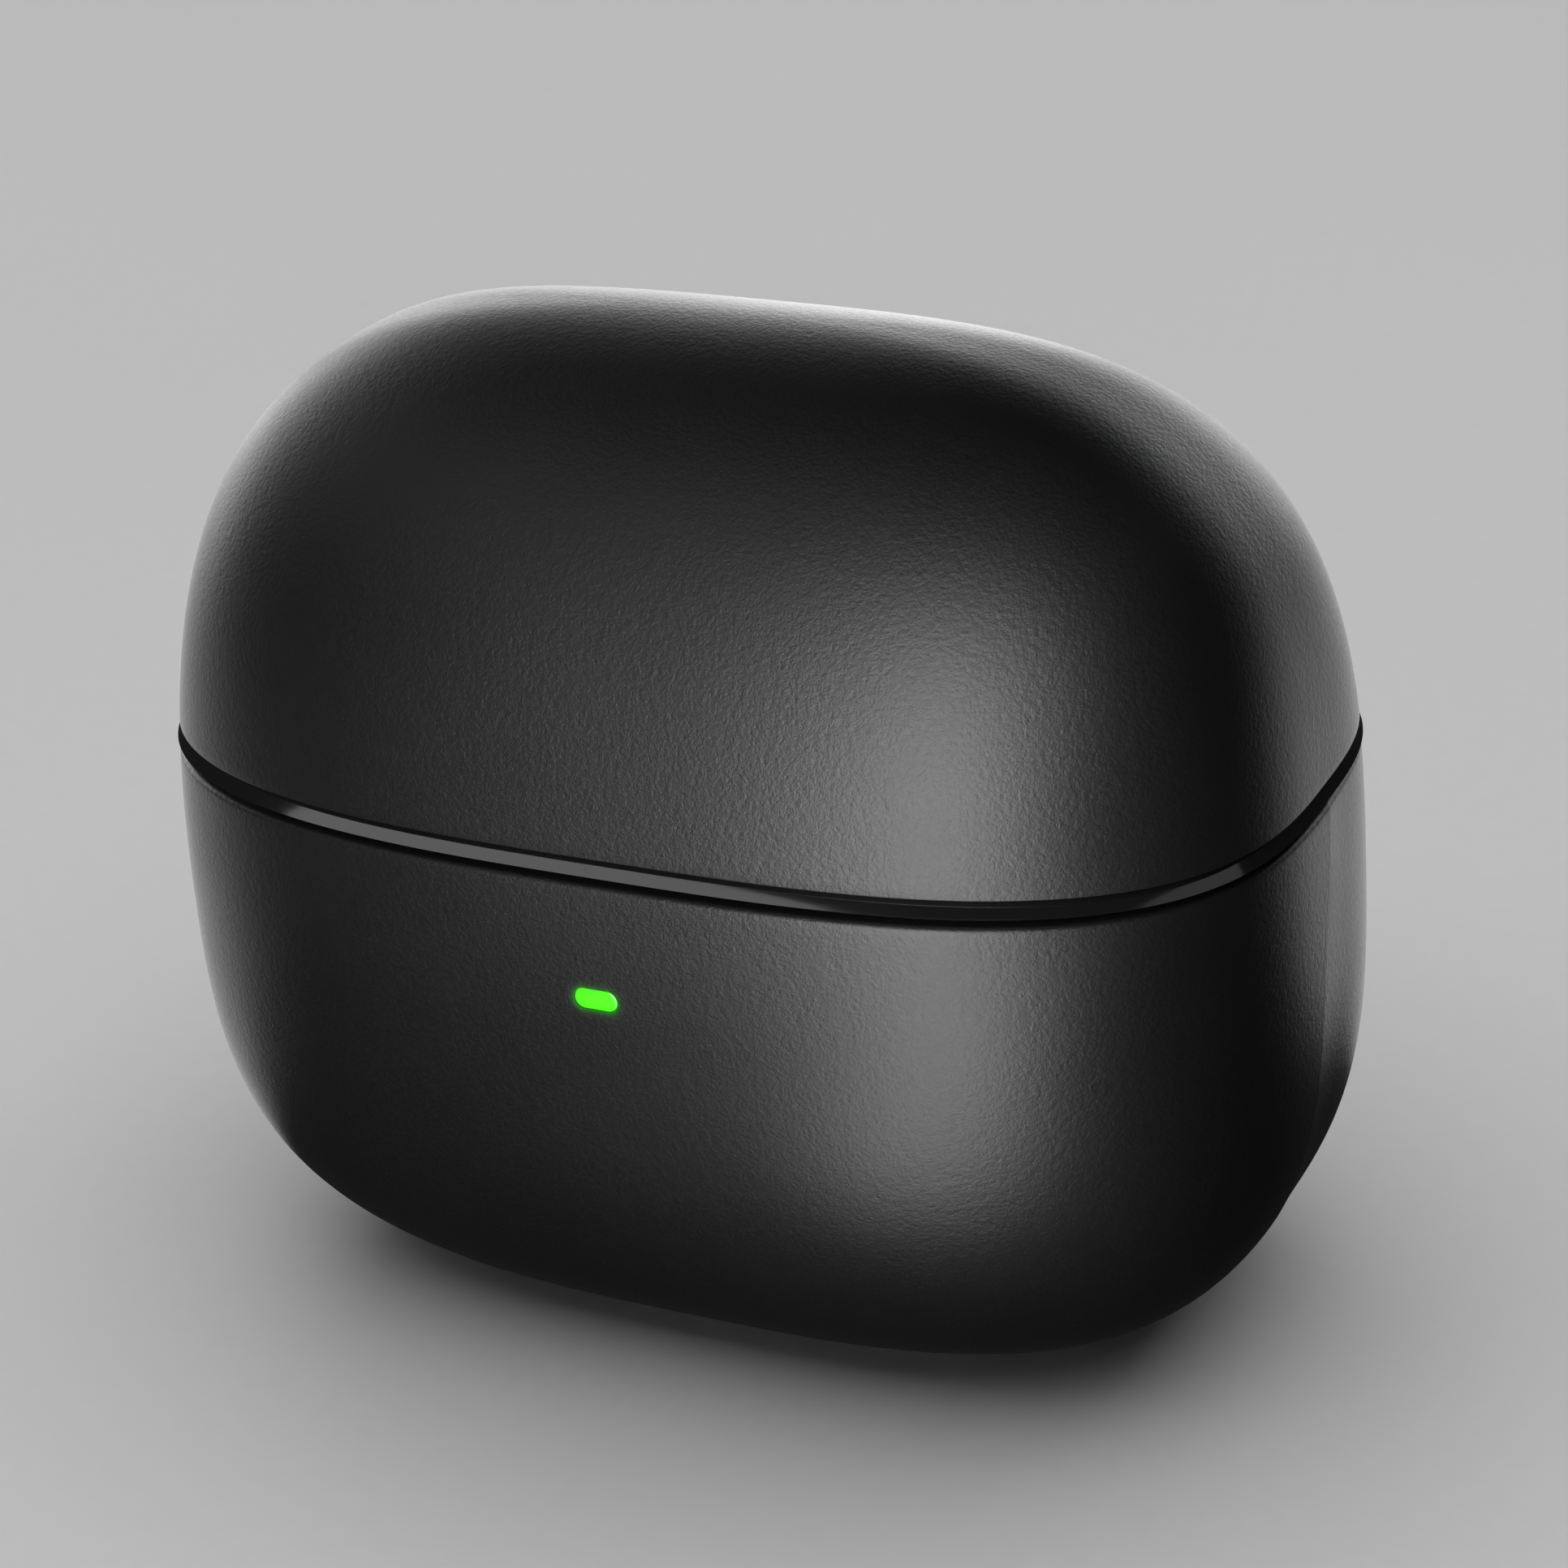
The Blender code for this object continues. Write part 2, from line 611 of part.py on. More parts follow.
def build_status_light(shaders):
    """Lens in the front wall, its chip and board, the lid sensor and the flex."""
    width, height = LENS_SIZE
    face = -wall_y(0.0, LIGHT_Z) + 0.02
    barrel("led_lens", height / 2.0, face, face + 2.0, "Y", (0.0, 0.0, LIGHT_Z), shaders["lens"],
           stretch=width - height)
    board_front = -14.6
    box("led_board", (-3.5, board_front, 21.2), (3.5, board_front + 0.8, 27.0), shaders["board"])
    box("led_chip", (-0.9, board_front - 0.9, LIGHT_Z - 0.5),
        (0.9, board_front - 0.3, LIGHT_Z + 0.5), shaders["lens"])
    box("hall_sensor", (-1.4, board_front - 1.1, 25.2), (1.4, board_front - 0.3, 26.6),
        shaders["plastic"])
    box("led_flex", (-1.8, board_front + 1.1, 20.0), (1.8, BOARD_Y - 0.8, 20.3), shaders["flex"])


def build_case():
    """Builds the whole case."""
    black = (0.012, 0.012, 0.013)
    shaders = {
        "shell": finish("matte_shell", black, 0.55),
        "ring": finish("gloss_ring", (0.008, 0.008, 0.009), 0.08),
        "liner": finish("satin_liner", (0.014, 0.014, 0.015), 0.3),
        "plastic": finish("black_plastic", (0.02, 0.02, 0.02), 0.5),
        "steel": finish("steel", (0.55, 0.55, 0.56), 0.3, metallic=1.0),
        "screw": finish("screw_steel", (0.32, 0.32, 0.33), 0.35, metallic=1.0),
        "magnet": finish("nickel_magnet", (0.62, 0.6, 0.56), 0.25, metallic=1.0),
        "gold": finish("gold_contact", (0.9, 0.66, 0.28), 0.25, metallic=1.0),
        "cell": finish("cell_pouch", (0.55, 0.56, 0.58), 0.4, metallic=0.6),
        "foam": finish("foam", (0.03, 0.03, 0.03), 0.95),
        "board": finish("green_board", (0.01, 0.12, 0.05), 0.45),
        "flex": finish("amber_flex", (0.5, 0.22, 0.04), 0.4),
        "lens": finish("green_lens", (0.12, 0.92, 0.02), 0.3, glow=2.0),
    }
    build_lid(shaders)
    build_base_front_shell(shaders["shell"])
    build_base_rear_shell(shaders["shell"])
    build_rim_ring(shaders["ring"])
    build_bud_tray(shaders["liner"])
    build_base_hinge(shaders)
    build_base_magnets(shaders)
    build_contacts(shaders)
    build_battery(shaders)
    build_main_board(shaders)
    build_button(shaders["shell"])
    build_status_light(shaders)


clear_scene()
build_case()
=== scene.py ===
"""Looks of the wireless earbuds case: fine surfaces, finishes, floor, light and camera.

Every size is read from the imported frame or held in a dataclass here, in metres unless a name
says otherwise. The front of the case faces -Y and +X is to its right.
"""

import json
import logging
import math
from dataclasses import dataclass, field
from enum import Enum
from typing import Sequence

import bmesh
import bpy
import numpy as np
from mathutils import Euler, Matrix, Vector


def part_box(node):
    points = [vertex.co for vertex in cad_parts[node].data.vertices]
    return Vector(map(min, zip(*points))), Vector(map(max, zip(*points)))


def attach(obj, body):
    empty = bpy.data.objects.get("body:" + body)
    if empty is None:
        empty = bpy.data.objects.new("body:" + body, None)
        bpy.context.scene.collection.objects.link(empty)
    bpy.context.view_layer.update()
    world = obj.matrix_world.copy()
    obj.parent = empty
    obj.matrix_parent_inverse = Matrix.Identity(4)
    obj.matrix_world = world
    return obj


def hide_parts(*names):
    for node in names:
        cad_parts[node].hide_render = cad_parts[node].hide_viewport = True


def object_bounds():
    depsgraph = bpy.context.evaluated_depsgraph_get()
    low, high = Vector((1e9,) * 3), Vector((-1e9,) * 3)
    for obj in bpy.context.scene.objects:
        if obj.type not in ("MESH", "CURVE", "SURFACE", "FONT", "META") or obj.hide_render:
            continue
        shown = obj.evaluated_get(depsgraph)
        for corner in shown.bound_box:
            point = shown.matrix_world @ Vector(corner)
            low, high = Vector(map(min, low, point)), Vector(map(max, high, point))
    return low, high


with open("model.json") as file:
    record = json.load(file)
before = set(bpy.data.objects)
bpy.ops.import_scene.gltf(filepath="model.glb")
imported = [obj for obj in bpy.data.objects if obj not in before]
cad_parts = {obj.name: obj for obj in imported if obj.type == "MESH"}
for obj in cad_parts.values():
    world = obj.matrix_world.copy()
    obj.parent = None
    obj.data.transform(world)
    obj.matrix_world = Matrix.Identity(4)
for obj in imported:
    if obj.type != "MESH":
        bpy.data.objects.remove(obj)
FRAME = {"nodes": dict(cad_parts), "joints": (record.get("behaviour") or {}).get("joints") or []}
CAD_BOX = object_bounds()
LOG = logging.getLogger("earbuds_case")
MM = 0.001
SIDES = ("left", "right")
CHARGE_PINS = tuple(f"charge_pin_{side}_{end}" for side in SIDES for end in ("front", "rear"))

# Half length of the rear opening for the hinge, and a place along Y that is past the rear wall.
HINGE_REACH = 15.5 * MM
PAST_REAR = 25.0 * MM

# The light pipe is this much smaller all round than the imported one, and so is its window.
LIGHT_TRIM = 0.1 * MM

# Pieces in the order in which they are dressed; the studio's lights are linked to them.
DRESSED: list[bpy.types.Object] = []


class Body(Enum):
    """The rigid bodies that pieces ride on, apart from the charging pins' own."""

    BASE = "base"
    LID = "lid"
    BUTTON = "button"


# Shader maths

class Socket:
    """A node socket that can be used in Python expressions."""

    def __init__(self, tree: "ShaderTree", link: bpy.types.NodeSocket) -> None:
        """Keeps the tree and the output socket."""
        self.tree = tree
        self.link = link

    def _math(self, operation: str, first: "Value", second: "Value") -> "Socket":
        """Adds one Math node."""
        return self.tree.node("ShaderNodeMath", {"operation": operation}, {0: first, 1: second})

    def __add__(self, other: "Value") -> "Socket":
        """Sum."""
        return self._math("ADD", self, other)

    __radd__ = __add__

    def __sub__(self, other: "Value") -> "Socket":
        """Difference."""
        return self._math("SUBTRACT", self, other)

    def __rsub__(self, other: "Value") -> "Socket":
        """Reflected difference."""
        return self._math("SUBTRACT", other, self)

    def __mul__(self, other: "Value") -> "Socket":
        """Product."""
        return self._math("MULTIPLY", self, other)

    __rmul__ = __mul__

    def __pow__(self, other: "Value") -> "Socket":
        """Power."""
        return self._math("POWER", self, other)


Value = Socket | float


class ShaderTree:
    """A material's node tree with one method for every kind of node."""

    def __init__(self, name: str) -> None:
        """Makes the material and finds its Principled shader.

        Args:
            name: Name of the material.
        """
        self.material = bpy.data.materials.new(name)
        self.material.use_nodes = True
        self.nodes = self.material.node_tree.nodes
        self.links = self.material.node_tree.links
        self.surface = self.nodes["Principled BSDF"]
        self.place = Socket(self, self.nodes.new("ShaderNodeTexCoord").outputs["Object"])

    def node(self, kind: str, settings: dict, sockets: dict, output: int | str = 0) -> Socket:
        """Adds a node, sets it up and wires it.

        Args:
            kind: Blender's name of the node type.
            settings: Properties set first; a ramp takes its stops under "stops".
            sockets: Input name or index to a value or a Socket.
            output: Which output to return.

        Returns:
            The chosen output.
        """
        made = self.nodes.new(kind)
        for key, value in settings.items():
            if key == "stops":
                ramp = made.color_ramp
                for index, (place, shade) in enumerate(value):
                    stop = ramp.elements[index] if index < 2 else ramp.elements.new(place)
                    stop.position = place
                    stop.color = (shade, shade, shade, 1.0)
            else:
                setattr(made, key, value)
        for key, value in sockets.items():
            self.wire(value, made.inputs[key])
        return Socket(self, made.outputs[output])

    def wire(self, value: "Value | Sequence[float]", target: bpy.types.NodeSocket) -> None:
        """Links a Socket to an input, or sets the input to a constant.

        Args:
            value: The Socket or the constant.
            target: Input to feed.
        """
        if isinstance(value, Socket):
            self.links.new(value.link, target)
        else:
            target.default_value = value

    def stretched(self, factors: Sequence[float]) -> Socket:
        """Object coordinates with each axis scaled."""
        return self.node("ShaderNodeMapping", {}, {"Vector": self.place, "Scale": factors})

    def noise(self, size: float, detail: float = 2.0, rough: float = 0.5,
              place: "Socket | None" = None) -> Socket:
        """Noise from 0 to 1.

        Args:
            size: Width of its features in metres.
            detail: Number of finer layers.
            rough: Strength of each finer layer.
            place: Coordinates, or None for Object coordinates.

        Returns:
            The noise.
        """
        return self.node("ShaderNodeTexNoise", {},
                         {"Vector": place or self.place, "Scale": 1.0 / size, "Detail": detail,
                          "Roughness": rough}, "Fac")

    def cells(self, size: float, settings: dict) -> Socket:
        """Distance from the middles of cells about size metres across."""
        return self.node("ShaderNodeTexVoronoi", settings,
                         {"Vector": self.place, "Scale": 1.0 / size}, "Distance")

    def ramp(self, value: Socket, stops: Sequence[tuple[float, float]]) -> Socket:
        """Grey ramp over (place, shade) stops."""
        return self.node("ShaderNodeValToRGB", {"stops": stops}, {0: value})

    def blend(self, factor: "Value", first: "Value | Sequence[float]",
              second: "Value | Sequence[float]") -> Socket:
        """Mixes two colours.

        Args:
            factor: Share of the second.
            first: Colour at 0.
            second: Colour at 1.

        Returns:
            The mixed colour.
        """
        mixed = self.nodes.new("ShaderNodeMix")
        mixed.data_type = "RGBA"
        self.wire(factor, mixed.inputs[0])
        self.wire(first, mixed.inputs[6])
        self.wire(second, mixed.inputs[7])
        return Socket(self, mixed.outputs[2])

    def bump(self, height: Socket, distance: float, strength: float = 1.0) -> None:
        """Feeds a height to the surface's normal.

        Args:
            height: Height from 0 to 1.
            distance: Depth in metres that 1 stands for.
            strength: Share of the bump that shows.
        """
        normal = self.node("ShaderNodeBump", {}, {"Height": height, "Distance": distance,
                                                  "Strength": strength}, "Normal")
        self.wire(normal, self.surface.inputs["Normal"])

    def edge_wear(self, radius: float) -> Socket:
        """Mask of edges: how far the normal turns when edges are rounded.

        Args:
            radius: Radius of the rounding in metres.

        Returns:
            0 on flat faces and 1 on edges.
        """
        rounded = self.node("ShaderNodeBevel", {"samples": 4}, {"Radius": radius}, "Normal")
        flat = Socket(self, self.nodes.new("ShaderNodeNewGeometry").outputs["Normal"])
        same = self.node("ShaderNodeVectorMath", {"operation": "DOT_PRODUCT"},
                         {0: rounded, 1: flat}, "Value")
        return self.ramp(1.0 - same, [(0.0, 0.0), (0.12, 1.0)])

    def set(self, **inputs: object) -> None:
        """Sets or wires inputs of the Principled shader, underscores standing for spaces."""
        for key, value in inputs.items():
            self.wire(value, self.surface.inputs[key.replace("_", " ")])


def grey(value: float) -> tuple[float, float, float, float]:
    """A neutral colour."""
    return (value, value, value, 1.0)


# Finishes

@dataclass(frozen=True)
class GrainedShell:
    """Matte black plastic with a fine spark-eroded grain, and optionally a painted glow: green
    emission round the light.
    """

    name: str = "grained_shell"
    colour: float = 0.0007
    roughness: float = 0.42
    grain: float = 0.00018
    depth: float = 0.000036
    specular: float = 0.1
    # Where the light sits, for a painted glow: its green spill painted on the shell as emission; None
    # for none.
    glow: tuple[float, float, float, float] | None = None

    def make(self) -> bpy.types.Material:
        """Grain is two noises and a cell pattern; skin oils vary the gloss slowly.

        Returns:
            The material.
        """
        tree = ShaderTree(self.name)
        coarse = tree.noise(self.grain, 3.0, 0.62)
        fine = tree.noise(self.grain * 0.45, 2.0, 0.55)
        cells = tree.cells(self.grain * 1.7, {"feature": "SMOOTH_F1"})
        height = coarse * 0.6 + fine * 0.25 + cells * 0.3
        tree.bump(height, self.depth, 1.0)
        cloud = tree.noise(0.009, 3.0, 0.6)
        tree.set(Base_Color=tree.blend(cloud * 0.4 + coarse * 0.6, grey(self.colour * 0.6),
                                       grey(self.colour * 1.5)),
                 Roughness=self.roughness + (cloud - 0.5) * 0.06 + (coarse - 0.5) * 0.14)
        tree.set(Specular_IOR_Level=self.specular)
        # Painted glow: green emission painted on the shell round the light.
        if self.glow:
            self.add_painted_glow(tree, *self.glow)
        return tree.material

    def add_painted_glow(self, tree: ShaderTree, centre_x: float, centre_z: float, straight: float,
                 radius: float) -> None:
        """Painted glow: faint green spill of the light painted on the shell as emission, fading with
        distance from its middle segment, less its radius.

        Args:
            tree: Material to add to.
            centre_x: Middle of the light along X.
            centre_z: Middle of the light along Z.
            straight: Half length of the straight part.
            radius: Half height.
        """
        split = tree.node("ShaderNodeSeparateXYZ", {}, {0: tree.place}, "X")
        height = Socket(tree, split.link.node.outputs["Z"]) - centre_z
        side = tree.node("ShaderNodeMath", {"operation": "ABSOLUTE"}, {0: split - centre_x})
        past = tree.node("ShaderNodeMath", {"operation": "MAXIMUM"}, {0: side - straight, 1: 0.0})
        away = (past * past + height * height) ** 0.5 - radius
        painted_spill = tree.ramp(away * (1.0 / MM), [(0.0, 1.0), (0.1, 0.4), (0.24, 0.1), (0.5, 0.0)])
        tree.set(Emission_Color=tree.blend(painted_spill, grey(0.0), (0.01, 0.2, 0.002, 1.0)))
        tree.set(Emission_Strength=1.0)


@dataclass(frozen=True)
class PolishedRing:
    """High-gloss black plastic with faint hairlines and wipe marks."""

    name: str = "polished_ring"
    colour: float = 0.0007
    roughness: float = 0.07

    def make(self) -> bpy.types.Material:
        """Hairlines run round the ring because the noise is squeezed along Z.

        Returns:
            The material.
        """
        tree = ShaderTree(self.name)
        hairs = tree.noise(0.0012, 4.0, 0.7, tree.stretched((1.0, 1.0, 14.0)))
        cloud = tree.noise(0.006, 2.0, 0.5)
        tree.set(Base_Color=tree.blend(cloud, grey(self.colour), grey(self.colour * 1.8)),
                 Roughness=self.roughness + (hairs - 0.45) * 0.06 + cloud * 0.04)
        tree.bump(hairs, 0.0000012, 0.5)
        tree.set(Specular_IOR_Level=0.5, Coat_Weight=0.15, Coat_Roughness=0.03)
        return tree.material


@dataclass(frozen=True)
class SatinPlastic:
    """Satin black plastic for the tray and the liner, with light scuffs."""

    name: str = "satin_black"
    colour: float = 0.006
    roughness: float = 0.3

    def make(self) -> bpy.types.Material:
        """Fine orange peel with scuffs where earbuds rub.

        Returns:
            The material.
        """
        tree = ShaderTree(self.name)
        peel = tree.noise(0.0009, 2.0, 0.5)
        scuff = tree.ramp(tree.noise(0.0022, 6.0, 0.78, tree.stretched((0.4, 1.0, 2.2))),
                          [(0.52, 0.0), (0.74, 1.0)])
        wear = tree.edge_wear(0.0003)
        shade = tree.blend(peel, grey(self.colour * 0.8), grey(self.colour * 1.3))
        tree.set(Base_Color=tree.blend(wear * 0.4 + scuff * 0.2, shade, grey(self.colour * 3.0)),
                 Roughness=self.roughness + scuff * 0.16 + (peel - 0.5) * 0.06)
        tree.bump(peel * 0.8 + scuff * 0.2, 0.000006, 0.7)
        return tree.material


@dataclass(frozen=True)
class MouldedPlastic:
    """Plain moulded plastic or foam with its own grain size."""

    name: str
    colour: tuple[float, float, float]
    roughness: float
    grain: float = 0.0003
    depth: float = 0.00001

    def make(self) -> bpy.types.Material:
        """Grain over a slow change of shade.

        Returns:
            The material.
        """
        tree = ShaderTree(self.name)
        grain = tree.noise(self.grain, 4.0, 0.65)
        cloud = tree.noise(self.grain * 14.0, 2.0, 0.5)
        dark = tuple(0.75 * part for part in self.colour) + (1.0,)
        light = tuple(1.25 * part for part in self.colour) + (1.0,)
        tree.set(Base_Color=tree.blend(cloud * 0.6 + grain * 0.4, dark, light),
                 Roughness=self.roughness + (grain - 0.5) * 0.12 + (cloud - 0.5) * 0.06)
        tree.bump(grain, self.depth, 0.8)
        return tree.material


@dataclass(frozen=True)
class BareMetal:
    """Stamped, turned or plated metal with drawn lines and worn edges."""

    name: str
    colour: tuple[float, float, float]
    roughness: float
    lines: tuple[float, float, float] = (1.0, 12.0, 12.0)
    line_size: float = 0.0009

    def make(self) -> bpy.types.Material:
        """Lines are noise squeezed across the grain; edges are brighter and smoother.

        Returns:
            The material.
        """
        tree = ShaderTree(self.name)
        lines = tree.noise(self.line_size, 5.0, 0.7, tree.stretched(self.lines))
        cloud = tree.noise(0.0035, 3.0, 0.55)
        wear = tree.edge_wear(0.00015)
        dark = tuple(0.72 * part for part in self.colour) + (1.0,)
        light = tuple(min(1.0, 1.12 * part) for part in self.colour) + (1.0,)
        tree.set(Base_Color=tree.blend(wear * 0.6 + cloud * 0.4, dark, light), Metallic=1.0,
                 Roughness=self.roughness + (lines - 0.5) * 0.16 + (cloud - 0.5) * 0.1 - wear * 0.08)
        tree.bump(lines, 0.000004, 0.6)
        return tree.material


@dataclass(frozen=True)
class CircuitBoard:
    """Green solder mask with faint copper tracks under it."""

    name: str = "solder_mask"
    track: float = 0.0011

    def make(self) -> bpy.types.Material:
        """Tracks are thin borders of square-metric cells, lighter than the mask.

        Returns:
            The material.
        """
        tree = ShaderTree(self.name)
        cells = tree.cells(self.track, {"distance": "CHEBYCHEV", "feature": "F1"})
        tracks = tree.ramp(cells, [(0.42, 0.0), (0.5, 1.0)])
        grain = tree.noise(0.0002, 3.0, 0.6)
        mask = tree.blend(grain, (0.004, 0.055, 0.022, 1.0), (0.008, 0.09, 0.036, 1.0))
        tree.set(Base_Color=tree.blend(tracks * 0.7, mask, (0.03, 0.2, 0.07, 1.0)),
                 Roughness=0.32 + grain * 0.14)
        tree.bump(tracks * 0.8 + grain * 0.2, 0.00002, 0.6)
        return tree.material


@dataclass(frozen=True)
class PouchFoil:
    """Wrinkled aluminium laminate of the cell."""

    name: str = "pouch_foil"

    def make(self) -> bpy.types.Material:
        """Wrinkles are low noise with a fine embossed grain.

        Returns:
            The material.
        """
        tree = ShaderTree(self.name)
        folds = tree.noise(0.004, 5.0, 0.6)
        grain = tree.noise(0.0004, 2.0, 0.5)
        tree.set(Base_Color=tree.blend(folds, (0.42, 0.43, 0.45, 1.0), (0.66, 0.67, 0.69, 1.0)),
                 Metallic=0.75, Roughness=0.3 + folds * 0.18 + grain * 0.08)
        tree.bump(folds * 0.8 + grain * 0.2, 0.00012, 0.6)
        return tree.material


@dataclass(frozen=True)
class LitLens:
    """Green light pipe, brighter in the middle and softened by its diffuser."""

    name: str = "lit_lens"
    centre: tuple[float, float, float] = (0.0, 0.0, 0.0)
    half: tuple[float, float] = (0.0011, 0.0005)

    def make(self) -> bpy.types.Material:
        """Brightness falls with the distance from the middle, in shares of the half sizes.

        Returns:
            The material.
        """
        tree = ShaderTree(self.name)
        scale = (1.0 / self.half[0], 0.0, 1.0 / self.half[1])
        offset = tuple(-part * factor for part, factor in zip(self.centre, scale))
        local = tree.node("ShaderNodeMapping", {}, {"Vector": tree.place, "Location": offset,
                                                    "Scale": scale})
        away = tree.node("ShaderNodeVectorMath", {"operation": "LENGTH"}, {0: local}, "Value")
        glow = tree.ramp(away, [(0.1, 1.0), (1.15, 0.35)])
        speck = tree.noise(0.00025, 2.0, 0.5)
        hot, rim = (0.1, 0.84, 0.004, 1.0), (0.04, 0.6, 0.002, 1.0)
        dark, light = (0.002, 0.03, 0.001, 1.0), (0.004, 0.05, 0.002, 1.0)
        tree.set(Base_Color=tree.blend(speck, dark, light), Roughness=0.25 + speck * 0.1,
                 Emission_Color=tree.blend(glow * 0.9 + speck * 0.1, rim, hot))
        tree.set(Emission_Strength=1.0, Specular_IOR_Level=0.1)
        return tree.material


# Meshes

def mesh_object(name: str, points: np.ndarray, faces: np.ndarray, sharp: float = 32.0
                ) -> bpy.types.Object:
    """Makes an object from points and quads, merging points that coincide.

    Args:
        name: Name of the piece.
        points: Array of (count, 3) places in metres.
        faces: Array of (count, 4) point numbers.
        sharp: Edges turning more than this many degrees stay sharp.

    Returns:
        The object, with its place in its mesh and its faces pointing out.
    """
    mesh = bpy.data.meshes.new(name)
    mesh.from_pydata(points.tolist(), [], faces.tolist())
    shape = bmesh.new()
    shape.from_mesh(mesh)
    bmesh.ops.remove_doubles(shape, verts=shape.verts, dist=1e-7)
    bmesh.ops.recalc_face_normals(shape, faces=shape.faces)
    shape.to_mesh(mesh)
    shape.free()
    mesh.shade_smooth()
    mesh.set_sharp_from_angle(angle=math.radians(sharp))
    piece = bpy.data.objects.new(name, mesh)
    bpy.context.scene.collection.objects.link(piece)
    return piece


def grid_faces(rows: int, columns: int, wrap: bool = True) -> np.ndarray:
    """Quads of a grid of points that are numbered row by row.

    Args:
        rows: Number of rows.
        columns: Number of columns.
        wrap: Whether the last column joins the first.

    Returns:
        Array of (count, 4) point numbers.
    """
    across = np.arange(columns if wrap else columns - 1)
    after = (across + 1) % columns
    base = np.arange(rows - 1)[:, None] * columns
    quads = np.stack([base + across, base + after, base + columns + after,
                      base + columns + across], axis=-1)
    return quads.reshape(-1, 4)


def grid_object(name: str, points: np.ndarray, wrap: bool = True, sharp: float = 32.0
                ) -> bpy.types.Object:
    """Makes an object from a grid of points.

    Args:
        name: Name of the piece.
        points: Array of (rows, columns, 3) places in metres.
        wrap: Whether the last column joins the first.
        sharp: Edges turning more than this many degrees stay sharp.

    Returns:
        The object.
    """
    rows, columns = points.shape[:2]
    return mesh_object(name, points.reshape(-1, 3), grid_faces(rows, columns, wrap), sharp)


def turned_points(radii: np.ndarray, heights: np.ndarray, centre: Sequence[float], axis: str,
                  columns: int = 48) -> np.ndarray:
    """Points of a turned shape: radius r at height h gives (r cos t, r sin t, h) about axis.

    Args:
        radii: Radius of each row.
        heights: Place of each row along the axis.
        centre: Point that the axis runs through.
        axis: X, Y or Z.
        columns: Points round the axis.

    Returns:
        Array of (rows, columns, 3).
    """
    turn = np.linspace(0.0, 2.0 * np.pi, columns, endpoint=False)
    first = radii[:, None] * np.cos(turn)
    second = radii[:, None] * np.sin(turn)
    along = np.repeat(heights[:, None], columns, axis=1)
    order = {"X": (along, first, second), "Y": (first, along, second),
             "Z": (first, second, along)}[axis]
    return np.stack(order, axis=-1) + np.asarray(centre, float)


def rounded_profile(steps: Sequence[tuple[float, float]], rounding: float) -> np.ndarray:
    """Rounds the corners of an open (radius, height) line.

    Each inner corner P becomes (1-t)^2 A + 2t(1-t) P + t^2 B, where A and B lie rounding away
    on its two sides, or nearly half way to its neighbours where these are closer.

    Args:
        steps: Corners of the line.
        rounding: Distance from a corner at which its curve starts.

    Returns:
        Array of (count, 2) points.
    """
    line = np.asarray(steps, float)
    share = np.linspace(0.0, 1.0, 5)[:, None]
    parts = [line[:1]]
    for before, corner, after in zip(line, line[1:], line[2:]):
        back, ahead = before - corner, after - corner
        reach = min(rounding, 0.45 * np.linalg.norm(back), 0.45 * np.linalg.norm(ahead))
        start = corner + back / np.linalg.norm(back) * reach
        end = corner + ahead / np.linalg.norm(ahead) * reach
        parts.append((1 - share) ** 2 * start + 2 * share * (1 - share) * corner + share ** 2 * end)
    parts.append(line[-1:])
    return np.concatenate(parts)


def turned(name: str, steps: Sequence[tuple[float, float]], centre: Sequence[float], axis: str,
           rounding: float = 0.00006, columns: int = 48) -> bpy.types.Object:
    """Makes a turned piece.

    Args:
        name: Name of the piece.
        steps: Its (radius, height) corners, from axis to axis.
        centre: Point that the axis runs through.
        axis: X, Y or Z.
        rounding: Size of its rounded corners.
        columns: Points round the axis.

    Returns:
        The object.
    """
    profile = rounded_profile(steps, rounding)
    points = turned_points(profile[:, 0], profile[:, 1], centre, axis, columns)
    return grid_object(name, points)


def rod(radius: float, half: float) -> list[tuple[float, float]]:
    """Corners of a plain rod, for turned."""
    return [(0.0, -half), (radius, -half), (radius, half), (0.0, half)]


def pill(name: str, centre: Sequence[float], half_x: float, half_z: float,
         steps: Sequence[tuple[float, float]], columns: int = 64) -> bpy.types.Object:
    """Closed pill-shaped prism along Y.

    Its outline is (c sgn(cos u) + r cos u, r sin u) with r the half height and c the rest of
    the half width. Each step (grow, y) adds grow to both half sizes at depth y.

    Args:
        name: Name of the prism.
        centre: Its middle.
        half_x: Half width.
        half_z: Half height.
        steps: Steps (grow, y) from the front backwards.
        columns: Points round the outline.

    Returns:
        The object.
    """
    turn = np.linspace(0.0, 2.0 * np.pi, columns, endpoint=False) + np.pi / columns
    straight = half_x - half_z
    rows = [(steps[0][0], steps[0][1], 0.0)] + [(grow, y, 1.0) for grow, y in steps]
    rows.append((steps[-1][0], steps[-1][1], 0.0))
    grid = []
    for grow, y, full in rows:
        radius = half_z + grow
        x = (np.sign(np.cos(turn)) * straight + radius * np.cos(turn)) * full
        z = radius * np.sin(turn) * full
        grid.append(np.stack([x + centre[0], np.full(columns, y + centre[1]), z + centre[2]], -1))
    return grid_object(name, np.array(grid))


